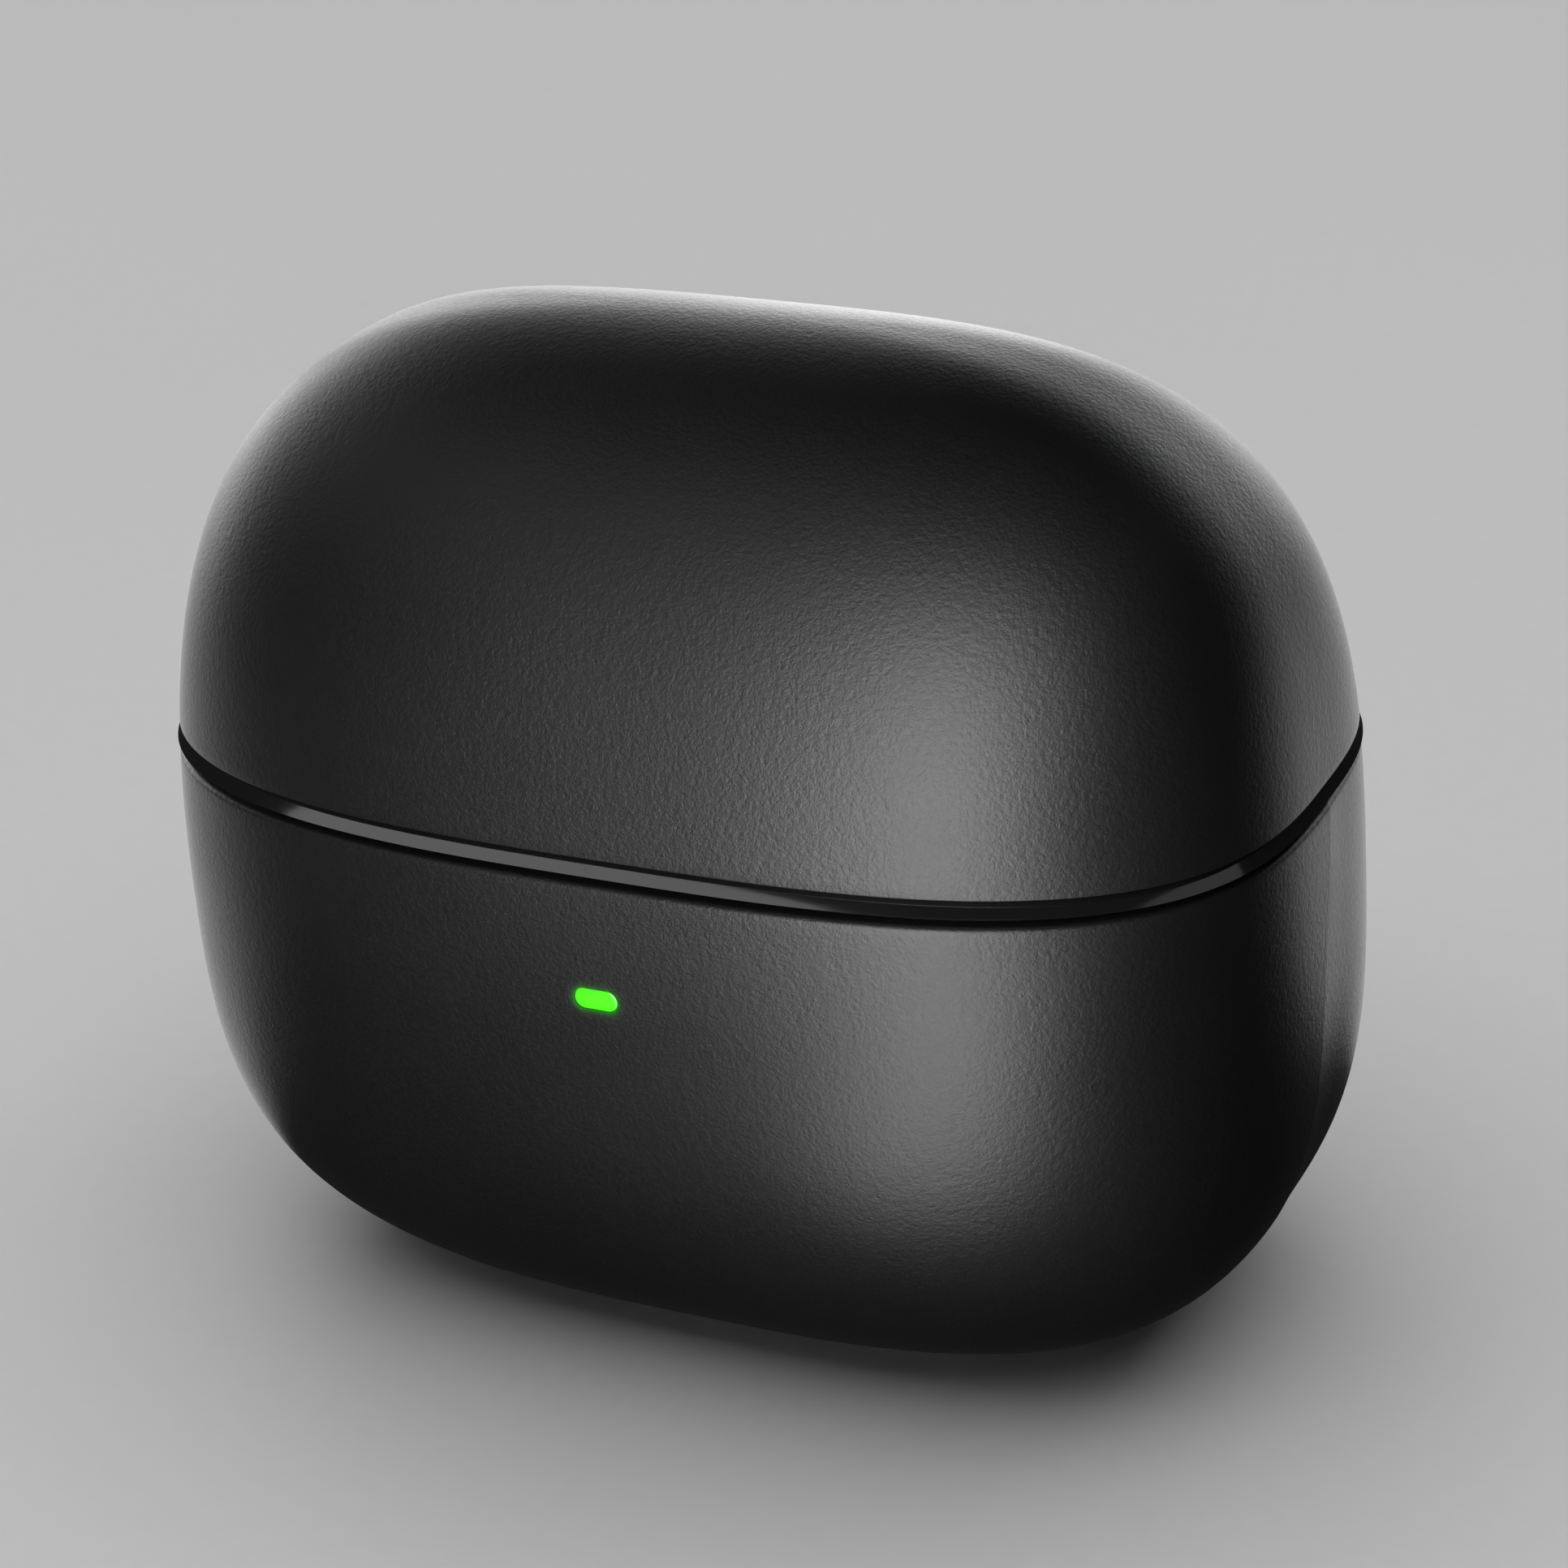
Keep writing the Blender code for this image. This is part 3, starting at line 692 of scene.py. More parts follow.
def cut_out(piece: bpy.types.Object, cutters: Sequence[bpy.types.Object], sharp: float = 32.0
            ) -> None:
    """Cuts closed meshes out of a piece and removes them.

    Args:
        piece: The piece, whose mesh is replaced by the result.
        cutters: Closed meshes.
        sharp: Edges turning more than this many degrees stay sharp.
    """
    for cutter in cutters:
        modifier = piece.modifiers.new(cutter.name, "BOOLEAN")
        modifier.operation = "DIFFERENCE"
        modifier.solver = "MANIFOLD"
        modifier.object = cutter
    bpy.context.view_layer.update()
    graph = bpy.context.evaluated_depsgraph_get()
    result = bpy.data.meshes.new_from_object(piece.evaluated_get(graph))
    piece.modifiers.clear()
    piece.data = result
    result.shade_smooth()
    result.set_sharp_from_angle(angle=math.radians(sharp))
    for cutter in cutters:
        bpy.data.objects.remove(cutter, do_unlink=True)


def block(name: str, low: Sequence[float], high: Sequence[float]) -> bpy.types.Object:
    """A plain block, used only to cut with.

    Args:
        name: Name of the block.
        low: Its lowest corner.
        high: Its highest corner.

    Returns:
        The object.
    """
    corners = np.array([[x, y, z] for z in (low[2], high[2]) for x, y in
                        ((low[0], low[1]), (high[0], low[1]), (high[0], high[1]),
                         (low[0], high[1]))], float)
    quads = np.array([[0, 1, 2, 3], [4, 5, 6, 7], [0, 1, 5, 4], [1, 2, 6, 5], [2, 3, 7, 6],
                      [3, 0, 4, 7]])
    return mesh_object(name, corners, quads)


def softened(node: str, rounding: float) -> bpy.types.Object:
    """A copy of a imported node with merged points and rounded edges.

    Args:
        node: The node's name.
        rounding: Radius of its edges.

    Returns:
        The copy, named for the node.
    """
    mesh = FRAME["nodes"][node].data.copy()
    shape = bmesh.new()
    shape.from_mesh(mesh)
    bmesh.ops.remove_doubles(shape, verts=shape.verts, dist=2e-6)
    bmesh.ops.dissolve_limit(shape, angle_limit=math.radians(1.0), verts=shape.verts,
                             edges=shape.edges)
    shape.to_mesh(mesh)
    shape.free()
    mesh.materials.clear()
    mesh.shade_smooth()
    mesh.set_sharp_from_angle(angle=math.radians(35.0))
    piece = bpy.data.objects.new(f"{node}_finished", mesh)
    bpy.context.scene.collection.objects.link(piece)
    bevel = piece.modifiers.new("rounded edges", "BEVEL")
    bevel.width = rounding
    bevel.segments = 2
    bevel.limit_method = "ANGLE"
    bevel.angle_limit = math.radians(35.0)
    bevel.harden_normals = True
    return piece


def put(piece: bpy.types.Object, body: str, material: bpy.types.Material, slot: str,
        *nodes: str) -> bpy.types.Object:
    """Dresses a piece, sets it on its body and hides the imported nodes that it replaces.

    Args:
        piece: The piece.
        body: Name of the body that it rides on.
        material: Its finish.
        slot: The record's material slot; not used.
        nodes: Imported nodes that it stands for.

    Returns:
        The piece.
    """
    piece.data.materials.clear()
    piece.data.materials.append(material)
    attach(piece, body)
    if nodes:
        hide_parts(*nodes)
    DRESSED.append(piece)
    LOG.info("%s rides on %s, %d faces", piece.name, body, len(piece.data.polygons))
    return piece


# The pebble

@dataclass
class Pebble:
    """Outer form of the case.

    At height z the plan is |x/A|^n + |y/B|^n = 1. With t the share of the way from the widest
    level to the top or bottom, A = a (1 - t^p)^(1/p) and B = b (1 - t^q)^(1/q). An inset wall
    takes its thickness off a, b and the reach.
    """

    half_width: float
    half_depth: float
    top: float
    widest: float = 21.3 * MM
    bottom: float = -0.4 * MM
    plan_power: float = 2.94
    width_powers: tuple[float, float] = (3.31, 3.23)
    depth_powers: tuple[float, float] = (1.92, 2.68)

    def reach(self, above: np.ndarray, inset: float) -> np.ndarray:
        """Height from the widest level to the top or to the bottom, inset by a wall."""
        return np.where(above, self.top - self.widest, self.widest - self.bottom) - inset

    def sizes(self, z: np.ndarray, inset: np.ndarray | float = 0.0) -> tuple[np.ndarray, np.ndarray]:
        """Half width and half depth at each height.

        Args:
            z: Heights.
            inset: Wall thickness to take off.

        Returns:
            The half widths and the half depths.
        """
        above = z > self.widest
        part = np.clip(np.abs(z - self.widest) / self.reach(above, inset), 0.0, 1.0)
        width_power = np.where(above, *self.width_powers)
        depth_power = np.where(above, *self.depth_powers)
        half_width = (self.half_width - inset) * (1.0 - part ** width_power) ** (1.0 / width_power)
        half_depth = (self.half_depth - inset) * (1.0 - part ** depth_power) ** (1.0 / depth_power)
        return half_width, half_depth

    def wall_y(self, x: np.ndarray, z: np.ndarray, inset: float = 0.0) -> np.ndarray:
        """Distance of the front or rear wall from the middle plane.

        Args:
            x: Places across.
            z: Heights.
            inset: Wall thickness to take off.

        Returns:
            The distances.
        """
        half_width, half_depth = self.sizes(np.asarray(z, float), inset)
        share = np.clip(np.abs(x) / half_width, 0.0, 1.0) ** self.plan_power
        return half_depth * (1.0 - share) ** (1.0 / self.plan_power)

    def climb(self, z_start: float, z_end: float, inset: float, count: int) -> np.ndarray:
        """Rows between two heights, even in the profile's angle asin(t).

        Args:
            z_start: First height.
            z_end: Last height.
            inset: Wall thickness to take off.
            count: Number of rows.

        Returns:
            Array of (count, 3) rows (A, B, z).
        """
        ends = np.array([z_start, z_end])
        part = (ends - self.widest) / self.reach(ends > self.widest, inset)
        first, last = np.arcsin(np.clip(part, -1.0, 1.0))
        turn = np.linspace(first, last, count)
        z = self.widest + self.reach(turn > 0.0, inset) * np.sin(turn)
        z[0], z[-1] = z_start, z_end
        return np.column_stack([*self.sizes(z, inset), z])

    def rows(self, inset: np.ndarray, z: np.ndarray) -> np.ndarray:
        """Rows (A, B, z) for insets and heights that go together."""
        return np.column_stack([*self.sizes(z, inset), z])

    def loft(self, rows: np.ndarray, columns: int = 224) -> np.ndarray:
        """Carries rows round the plan: x = A sgn(cos u)|cos u|^(2/n), y = B sgn(sin u)|sin u|^(2/n).

        Args:
            rows: Array of (count, 3) rows (A, B, z).
            columns: Points round the plan.

        Returns:
            Array of (count, columns, 3) points.
        """
        turn = np.linspace(0.0, 2.0 * np.pi, columns, endpoint=False)
        power = 2.0 / self.plan_power
        across = np.sign(np.cos(turn)) * np.abs(np.cos(turn)) ** power
        along = np.sign(np.sin(turn)) * np.abs(np.sin(turn)) ** power
        x = rows[:, 0:1] * across
        y = rows[:, 1:2] * along
        z = np.repeat(rows[:, 2:3], columns, axis=1)
        return np.stack([x, y, z], axis=-1)


def corner(inset: float, z: float, radius: float, start: float, end: float, count: int = 5
           ) -> tuple[np.ndarray, np.ndarray]:
    """Arc in a wall's section: (inset + r cos t, z + r sin t).

    Args:
        inset: Inset of its middle.
        z: Height of its middle.
        radius: The radius r.
        start: First angle t in degrees.
        end: Last angle.
        count: Number of points.

    Returns:
        The insets and the heights.
    """
    turn = np.radians(np.linspace(start, end, count))
    return inset + radius * np.cos(turn), z + radius * np.sin(turn)


# Sub-assemblies

@dataclass
class Lid:
    """Shell, liner, bracket and magnets that swing together."""

    pebble: Pebble
    hinge: Vector
    wall: float = 1.5 * MM
    crisp: float = 0.09 * MM
    inner_round: float = 0.25 * MM
    notch_radius: float = 1.75 * MM
    notch_round: float = 0.4 * MM
    liner_outer: float = 4.3 * MM
    liner_inner: float = 5.2 * MM
    flange: float = 1.0 * MM
    edge: float = field(init=False)
    liner_rim: float = field(init=False)

    def __post_init__(self) -> None:
        """Reads the levels of the lid's edge and the liner's rim from the frame."""
        self.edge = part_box("lid_shell")[0].z
        self.liner_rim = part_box("lid_liner")[0].z

    def shell(self) -> bpy.types.Object:
        """Dome from its pole down the outside, round a crisp edge and up the inside.

        Returns:
            The shell.
        """
        pebble, crisp, inner_round = self.pebble, self.crisp, self.inner_round
        outside = pebble.climb(pebble.top, self.edge + crisp, 0.0, 84)
        lip = pebble.rows(*corner(crisp, self.edge + crisp, crisp, 180.0, 270.0))
        inner_lip = pebble.rows(*corner(self.wall - inner_round, self.edge + inner_round,
                                        inner_round, 270.0, 360.0))
        inside = pebble.climb(self.edge + inner_round, pebble.top - self.wall, self.wall, 44)
        piece = grid_object("lid_shell_skin",
                            pebble.loft(np.concatenate([outside, lip, inner_lip, inside])))
        cut_out(piece, [self.notch_cutter()])
        return piece

    def notch_cutter(self) -> bpy.types.Object:
        """Cylinder along the hinge that clears the knuckles.

        Returns:
            The cutter.
        """
        return turned("notch_cutter", rod(self.notch_radius, HINGE_REACH), self.hinge, "X",
                      self.notch_round, 64)

    def liner(self) -> bpy.types.Object:
        """Inner dome with a stepped lip and a flange that closes the wall at the mouth.

        Returns:
            The liner.
        """
        pebble, rim, flange = self.pebble, self.liner_rim, self.flange
        outer, inner = self.liner_outer, self.liner_inner
        round_rim, step = 0.35 * MM, 0.25 * MM
        flange_inset = self.wall + 0.3 * MM
        outside = pebble.climb(pebble.top - outer, rim + flange, outer, 36)
        shelf = pebble.rows(np.array([flange_inset, flange_inset]), np.array([rim + flange, rim]))
        mouth = pebble.rows(*corner(inner - round_rim, rim + round_rim, round_rim, 270.0, 360.0))
        throat = pebble.rows(np.array([inner, inner + step]),
                             np.array([rim + 1.6 * MM, rim + 1.85 * MM]))
        inside = pebble.climb(rim + 1.9 * MM, pebble.top - inner - step, inner + step, 44)
        piece = grid_object("lid_liner_dome",
                            pebble.loft(np.concatenate([outside, shelf, mouth, throat, inside])))
        rear = float(pebble.wall_y(0.0, rim, outer))
        cut_out(piece, [block("flange_notch", (-HINGE_REACH, rear, rim - MM),
                              (HINGE_REACH, PAST_REAR, rim + flange + 0.4 * MM))])
        return piece

    def build(self, finishes: "Finishes") -> None:
        """Builds and dresses everything on the lid.

        Args:
            finishes: The materials.
        """
        lid = Body.LID.value
        put(self.shell(), lid, finishes.shell, "matte_shell", "lid_shell")
        put(self.liner(), lid, finishes.satin, "satin_liner", "lid_liner")
        put(softened("lid_hinge_bracket", 0.00012), lid, finishes.hinge, "steel",
            "lid_hinge_bracket")
        for side in SIDES:
            put(softened(f"lid_magnet_{side}", 0.0001), lid, finishes.nickel, "nickel_magnet",
                f"lid_magnet_{side}")


@dataclass
class BaseShells:
    """Front and rear shells of the base, which meet in a fine crease down each side."""

    pebble: Pebble
    hinge: Vector
    wall: float = 1.6 * MM
    edge_round: float = 0.28 * MM
    split_y: float = 0.4 * MM
    split_lean: float = math.radians(8.0)
    crease_slope: float = 0.13
    crease_reach: float = 2.6 * MM
    button_hole: float = 2.42 * MM
    hinge_gap: float = 1.9 * MM
    edge: float = field(init=False)

    def __post_init__(self) -> None:
        """Reads the level of the base's edge from the frame."""
        self.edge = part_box("base_front_shell")[1].z

    def cup(self, name: str, creased: bool) -> bpy.types.Object:
        """Whole wall of the base from the middle of the foot, over the edge, to the inside.

        With creased, points behind the split plane move towards the middle by
        c d exp(-d / L), d being their distance behind it, so that the two shells meet at an
        angle of atan(c).

        Args:
            name: Name of the piece.
            creased: Whether it is the wall behind the crease.

        Returns:
            The wall.
        """
        pebble = self.pebble
        foot_width, foot_depth = pebble.sizes(np.array([0.0]), 0.0)
        share = np.array([0.0, 0.35, 0.7, 0.93, 0.985])
        foot = np.column_stack([share * foot_width, share * foot_depth, np.zeros(5)])
        foot[-1, 2] = 0.02 * MM
        outside = pebble.climb(0.06 * MM, self.edge - self.edge_round, 0.0, 84)
        lip = pebble.rows(*corner(self.edge_round, self.edge - self.edge_round, self.edge_round,
                                  180.0, 90.0, 8))
        inner_round = 0.15 * MM
        inner_lip = pebble.rows(*corner(self.wall - inner_round, self.edge - inner_round,
                                        inner_round, 90.0, 0.0))
        inside = pebble.climb(self.edge - inner_round, pebble.bottom + self.wall, self.wall, 44)
        points = pebble.loft(np.concatenate([foot, outside, lip, inner_lip, inside]))
        if creased:
            x, y, z = np.moveaxis(points, -1, 0)
            behind = np.clip((y - self.split_y) * math.cos(self.split_lean)
                             + (self.edge - z) * math.sin(self.split_lean), 0.0, None)
            half_width = np.abs(x).max(axis=1, keepdims=True) + 1e-9
            outer_rows = np.arange(len(points))[:, None] < len(foot) + len(outside) + len(lip)
            fade = (np.abs(x) / half_width) ** 4 * outer_rows
            shift = self.crease_slope * behind * np.exp(-behind / self.crease_reach) * fade
            points[..., 0] = x - np.sign(x) * shift
        return grid_object(name, points)

    def side_block(self, name: str, front: bool) -> bpy.types.Object:
        """Block on one side of the leaning split plane, reaching a hairline past it.

        Args:
            name: Name of the block.
            front: Whether it is the block in front of the plane.

        Returns:
            The block.
        """
        half, gap = 60.0 * MM, 0.01 * MM
        sign = -1.0 if front else 1.0
        near, far = -sign * gap, sign * 2.0 * half
        piece = block(name, (-half, min(near, far), -half), (half, max(near, far), half))
        lean = Matrix.Rotation(-self.split_lean, 4, "X")
        piece.data.transform(Matrix.Translation((0.0, self.split_y, self.edge)) @ lean)
        return piece

    def front(self) -> bpy.types.Object:
        """Front shell with the pill-shaped window of the light.

        Returns:
            The shell.
        """
        piece = self.cup("base_front_skin", creased=False)
        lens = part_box("led_lens")
        slack = 0.03 * MM
        half = (lens[1] - lens[0]) / 2.0
        window = pill("window_cutter", (lens[0] + lens[1]) / 2.0, half.x - LIGHT_TRIM + slack,
                      half.z - LIGHT_TRIM + slack, [(0.0, -4.0 * MM), (0.0, 3.0 * MM)])
        cut_out(piece, [self.side_block("rear_half", front=False), window])
        return piece

    def rear(self) -> bpy.types.Object:
        """Rear shell with a flared port mouth, the button's hole and the hinge gap.

        Returns:
            The shell.
        """
        piece = self.cup("base_rear_skin", creased=True)
        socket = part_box("usb_c_receptacle")
        centre, half = (socket[0] + socket[1]) / 2.0, (socket[1] - socket[0]) / 2.0
        centre.y = float(self.pebble.wall_y(0.0, centre.z))
        flare = [(0.0, -6.0 * MM), (0.0, -0.75 * MM), (0.12 * MM, -0.35 * MM),
                 (0.5 * MM, 0.15 * MM), (1.2 * MM, 1.2 * MM)]
        port = pill("port_cutter", centre, half.x + 0.2 * MM, half.z + 0.2 * MM, flare)
        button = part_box("pair_button")
        middle = (button[0] + button[1]) / 2.0
        middle = (middle.x, float(self.pebble.wall_y(0.0, middle.z)), middle.z)
        radius = self.button_hole
        steps = [(0.0, -4.0 * MM), (radius, -4.0 * MM), (radius, -0.35 * MM),
                 (radius + 0.45 * MM, 0.1 * MM), (radius + 0.9 * MM, 2.0 * MM), (0.0, 2.0 * MM)]
        hole = turned("button_cutter", steps, middle, "Y", 0.2 * MM, 72)
        hinge = turned("hinge_cutter", rod(self.hinge_gap, HINGE_REACH), self.hinge, "X",
                       0.4 * MM, 64)
        cut_out(piece, [self.side_block("front_half", front=True), port, hole, hinge])
        return piece

    def build(self, finishes: "Finishes") -> None:
        """Builds and dresses both shells.

        Args:
            finishes: The materials.
        """
        base = Body.BASE.value
        # The front shell wears the painted glow: green emission round the light.
        put(self.front(), base, finishes.painted_glow_shell, "matte_shell", "base_front_shell")
        put(self.rear(), base, finishes.shell, "matte_shell", "base_rear_shell")


@dataclass
class RimRing:
    """Glossy ring in the parting line, open at the hinge, with a slanting outer face."""

    pebble: Pebble
    width: float = 2.6 * MM
    face_inset: float = 0.5 * MM
    proud: float = 0.08 * MM
    crown: float = 0.008 * MM

    def build(self, finishes: "Finishes") -> None:
        """Carries the profile along the plan curve.

        The face runs from the flush lower edge up and inwards as a straight line plus a crown
        of c sin(pi s), between a small round at the bottom and one at the top.

        Args:
            finishes: The materials.
        """
        low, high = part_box("rim_ring")[0].z - 0.02 * MM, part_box("rim_ring")[1].z + 0.08 * MM
        share = np.linspace(0.0, 1.0, 9)
        crown = self.crown * np.sin(np.pi * share)
        face_z = low + 0.17 * MM + (high - low - 0.21 * MM) * share + crown * 0.5
        face_inset = -self.proud + self.face_inset * share - crown * 0.8
        inner = self.face_inset - self.proud
        inset = np.concatenate([[0.16 * MM, 0.04 * MM, -self.proud + 0.012 * MM], face_inset,
                                [inner + 0.03 * MM, inner + 0.1 * MM, self.width, self.width,
                                 0.16 * MM]])
        z = np.concatenate([low + np.array([0.0, 0.08, 0.152]) * MM, face_z,
                            [high - 0.01 * MM, high, high, low, low]])
        piece = grid_object("rim_ring_gloss", self.pebble.loft(self.pebble.rows(inset, z), 320),
                            sharp=25.0)
        cut_out(piece, [block("hinge_opening", (-HINGE_REACH, 8.0 * MM, low - MM),
                              (HINGE_REACH, PAST_REAR, high + MM))], 25.0)
        put(piece, Body.BASE.value, finishes.gloss, "gloss_ring", "rim_ring")


@dataclass
class BudTray:
    """Plate with two bays, each a scoop for an earbud's head that runs into a stem slot."""

    pebble: Pebble
    inset: float = 2.9 * MM
    bowl_x: float = 11.8 * MM
    bowl_z: float = 32.0 * MM
    bowl_radius: float = 8.3 * MM
    stem_radius: float = 3.4 * MM
    wall: float = 0.9 * MM
    mouth_round: float = 0.4 * MM
    floor_round: float = 0.4 * MM
    plate: float = 1.3 * MM
    stem_x: float = field(init=False)
    floor: float = field(init=False)
    top: float = field(init=False)
    under: float = field(init=False)
    corner_angle: float = field(init=False)

    def __post_init__(self) -> None:
        """Reads the slots' place from the pins and the plate's levels from the tray."""
        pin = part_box("charge_pin_right_front")
        low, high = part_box("bud_tray")
        self.stem_x = (pin[0].x + pin[1].x) / 2.0
        self.floor = low.z + self.wall
        self.top = high.z
        self.under = high.z - self.plate
        half_depth = self.pebble.sizes(np.array([self.top]), self.inset)[1][0]
        self.corner_angle = math.atan2(half_depth, -self.stem_x)

    def directions(self) -> np.ndarray:
        """Angles about the stem, with one exactly at each end of the middle line.

        Returns:
            The angles.
        """
        outer = np.linspace(-self.corner_angle, self.corner_angle, 121)
        inner = np.linspace(self.corner_angle, 2.0 * np.pi - self.corner_angle, 73)[1:-1]
        return np.concatenate([outer, inner])

    def outline(self, angle: np.ndarray, z: float) -> np.ndarray:
        """Radius of the bay about the stem at height z.

        It is the 14-norm of the stem's radius and the far crossing of the bowl's circle,
        d cos a + sqrt(r^2 - d^2 sin^2 a), which fades in above the bowl's bottom.

        Args:
            angle: Angles about the stem.
            z: Height.

        Returns:
            The radii.
        """
        offset = self.stem_x - self.bowl_x
        circle = max(self.bowl_radius ** 2 - (z - self.bowl_z) ** 2, 0.0)
        fade = np.clip((z - (self.bowl_z - self.bowl_radius)) / (1.6 * MM), 0.0, 1.0)
        fade = fade * fade * (3.0 - 2.0 * fade)
        inside = np.clip(circle - (offset * np.sin(angle)) ** 2, 0.0, None)
        far = np.clip(-offset * np.cos(angle) + np.sqrt(inside), 0.0, None) * fade
        scale = self.stem_radius
        return scale * (1.0 + (far / scale) ** 14) ** (1.0 / 14.0)

    def border(self, angle: np.ndarray) -> np.ndarray:
        """Distance from the stem to the plate's border, found by halving 40 times.

        Args:
            angle: Angles about the stem.

        Returns:
            The distances.
        """
        half_width, half_depth = self.pebble.sizes(np.array([self.top]), self.inset)
        low = np.zeros_like(angle)
        high = np.full_like(angle, 2.0 * half_width[0])
        power = self.pebble.plan_power
        for _ in range(40):
            middle = (low + high) / 2.0
            x = self.stem_x + middle * np.cos(angle)
            y = middle * np.sin(angle)
            outside = np.abs(x / half_width[0]) ** power + np.abs(y / half_depth[0]) ** power > 1.0
            outside |= x < 0.0
            low = np.where(outside, low, middle)
            high = np.where(outside, middle, high)
        return high

    def half(self) -> tuple[np.ndarray, np.ndarray]:
        """Right half: down the bay's inside, over the plate, under it and down the outside.

        Returns:
            Its points and its quads, open on the middle plane.
        """
        angle = self.directions()
        limit = self.border(angle)
        plain = np.ones_like(angle)
        on_rim = np.abs(np.mod(angle + np.pi, 2.0 * np.pi) - np.pi) < self.corner_angle - 1e-6
        rows: list[tuple[np.ndarray, np.ndarray]] = []
        for share in (0.0, 0.4, 0.75, 1.0):
            rows.append((plain * (self.stem_radius - self.floor_round) * share, plain * self.floor))
        for turn in np.radians([30.0, 60.0, 90.0]):
            rows.append((plain * (self.stem_radius - self.floor_round * (1.0 - math.sin(turn))),
                         plain * (self.floor + self.floor_round * (1.0 - math.cos(turn)))))
        bottom = self.bowl_z - self.bowl_radius
        last = self.top - self.mouth_round
        heights = np.concatenate([np.linspace(self.floor + 2 * self.floor_round, bottom, 8),
                                  np.linspace(bottom, last, 34)[1:]])
        rows += [(self.outline(angle, z), plain * z) for z in heights]
        mouth = self.outline(angle, last)
        for turn in np.radians([18.0, 36.0, 54.0, 72.0, 90.0]):
            rows.append((mouth + self.mouth_round * (1.0 - math.cos(turn)),
                         plain * (last + self.mouth_round * math.sin(turn))))
        lip = rows[-1][0]
        edge = np.where(on_rim, 0.15 * MM, 0.0)
        for share in (0.12, 0.35, 0.65, 0.9):
            rows.append((lip + (limit - edge - lip) * share, plain * self.top))
        rows.append((limit - edge, plain * self.top))
        rows.append((limit, self.top - edge))
        rows.append((limit, self.under + edge))
        rows.append((limit - edge, plain * self.under))
        outer = self.outline(angle, self.under) + self.wall
        for share in (0.5, 1.0):
            rows.append((limit + (outer - limit) * share, plain * self.under))
        for z in np.linspace(self.under, bottom - 0.4 * MM, 14)[1:]:
            rows.append((self.outline(angle, z + self.wall * 0.6) + self.wall, plain * z))
        sole = self.floor - self.wall
        rows.append((plain * (self.stem_radius + self.wall), plain * (self.floor - 0.6 * self.wall)))
        rows.append((plain * (self.stem_radius + 0.6 * self.wall), plain * sole))
        rows.append((plain * 0.0, plain * sole))
        radius = np.array([row[0] for row in rows])
        height = np.array([row[1] for row in rows])
        points = np.stack([self.stem_x + radius * np.cos(angle), radius * np.sin(angle), height], -1)
        points[..., 0][np.abs(points[..., 0]) < 1e-7] = 0.0
        flat = points.reshape(-1, 3)
        faces = grid_faces(*points.shape[:2])
        inner_wall = np.all(flat[faces][..., 0] == 0.0, axis=1)
        return flat, faces[~inner_wall]

    def build(self, finishes: "Finishes") -> None:
        """Joins the right half to its mirror image and opens the holes for the pins.

        Args:
            finishes: The materials.
        """
        points, faces = self.half()
        mirrored = points * np.array([-1.0, 1.0, 1.0])
        piece = mesh_object("bud_tray_bays", np.concatenate([points, mirrored]),
                            np.concatenate([faces, faces[:, ::-1] + len(points)]), 38.0)
        holes = []
        for name in CHARGE_PINS:
            low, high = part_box(name)
            middle = (low + high) / 2.0
            radius = (high.x - low.x) / 2.0 + 0.14 * MM
            under, over = -3.0 * MM, 0.18 * MM
            steps = [(0.0, under), (radius, under), (radius, -0.12 * MM),
                     (radius + 0.3 * MM, over), (0.0, over)]
            holes.append(turned(f"hole_{name}", steps, (middle.x, middle.y, self.floor), "Z",
                                0.02 * MM, 32))
        cut_out(piece, holes, 38.0)
        put(piece, Body.BASE.value, finishes.satin, "satin_liner", "bud_tray")


@dataclass
class Contacts:
    """Sprung charging pins and the blocks that guide them."""

    shoulder: float = 1.25 * MM
    taper: float = 0.1 * MM
    dome: float = 0.2 * MM
    tip_share: float = 0.78

    def build(self, finishes: "Finishes") -> None:
        """Each pin is turned with a shoulder and a domed tip.

        Args:
            finishes: The materials.
        """
        for name in CHARGE_PINS:
            low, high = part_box(name)
            centre = (low + high) / 2.0
            radius, half = (high.x - low.x) / 2.0, (high.z - low.z) / 2.0
            tip = radius * self.tip_share
            steps = [(0.0, -half), (radius, -half), (radius, half - self.shoulder),
                     (tip, half - self.shoulder + self.taper), (tip, half - self.dome),
                     (radius * 0.45, half), (0.0, half)]
            body = name.replace("charge_", "")
            put(turned(f"{name}_plunger", steps, centre, "Z", 0.00012, 40), body, finishes.gold,
                "gold_contact", name)
        for side in SIDES:
            node = f"contact_block_{side}"
            put(softened(node, 0.0001), Body.BASE.value, finishes.moulded, "black_plastic", node)


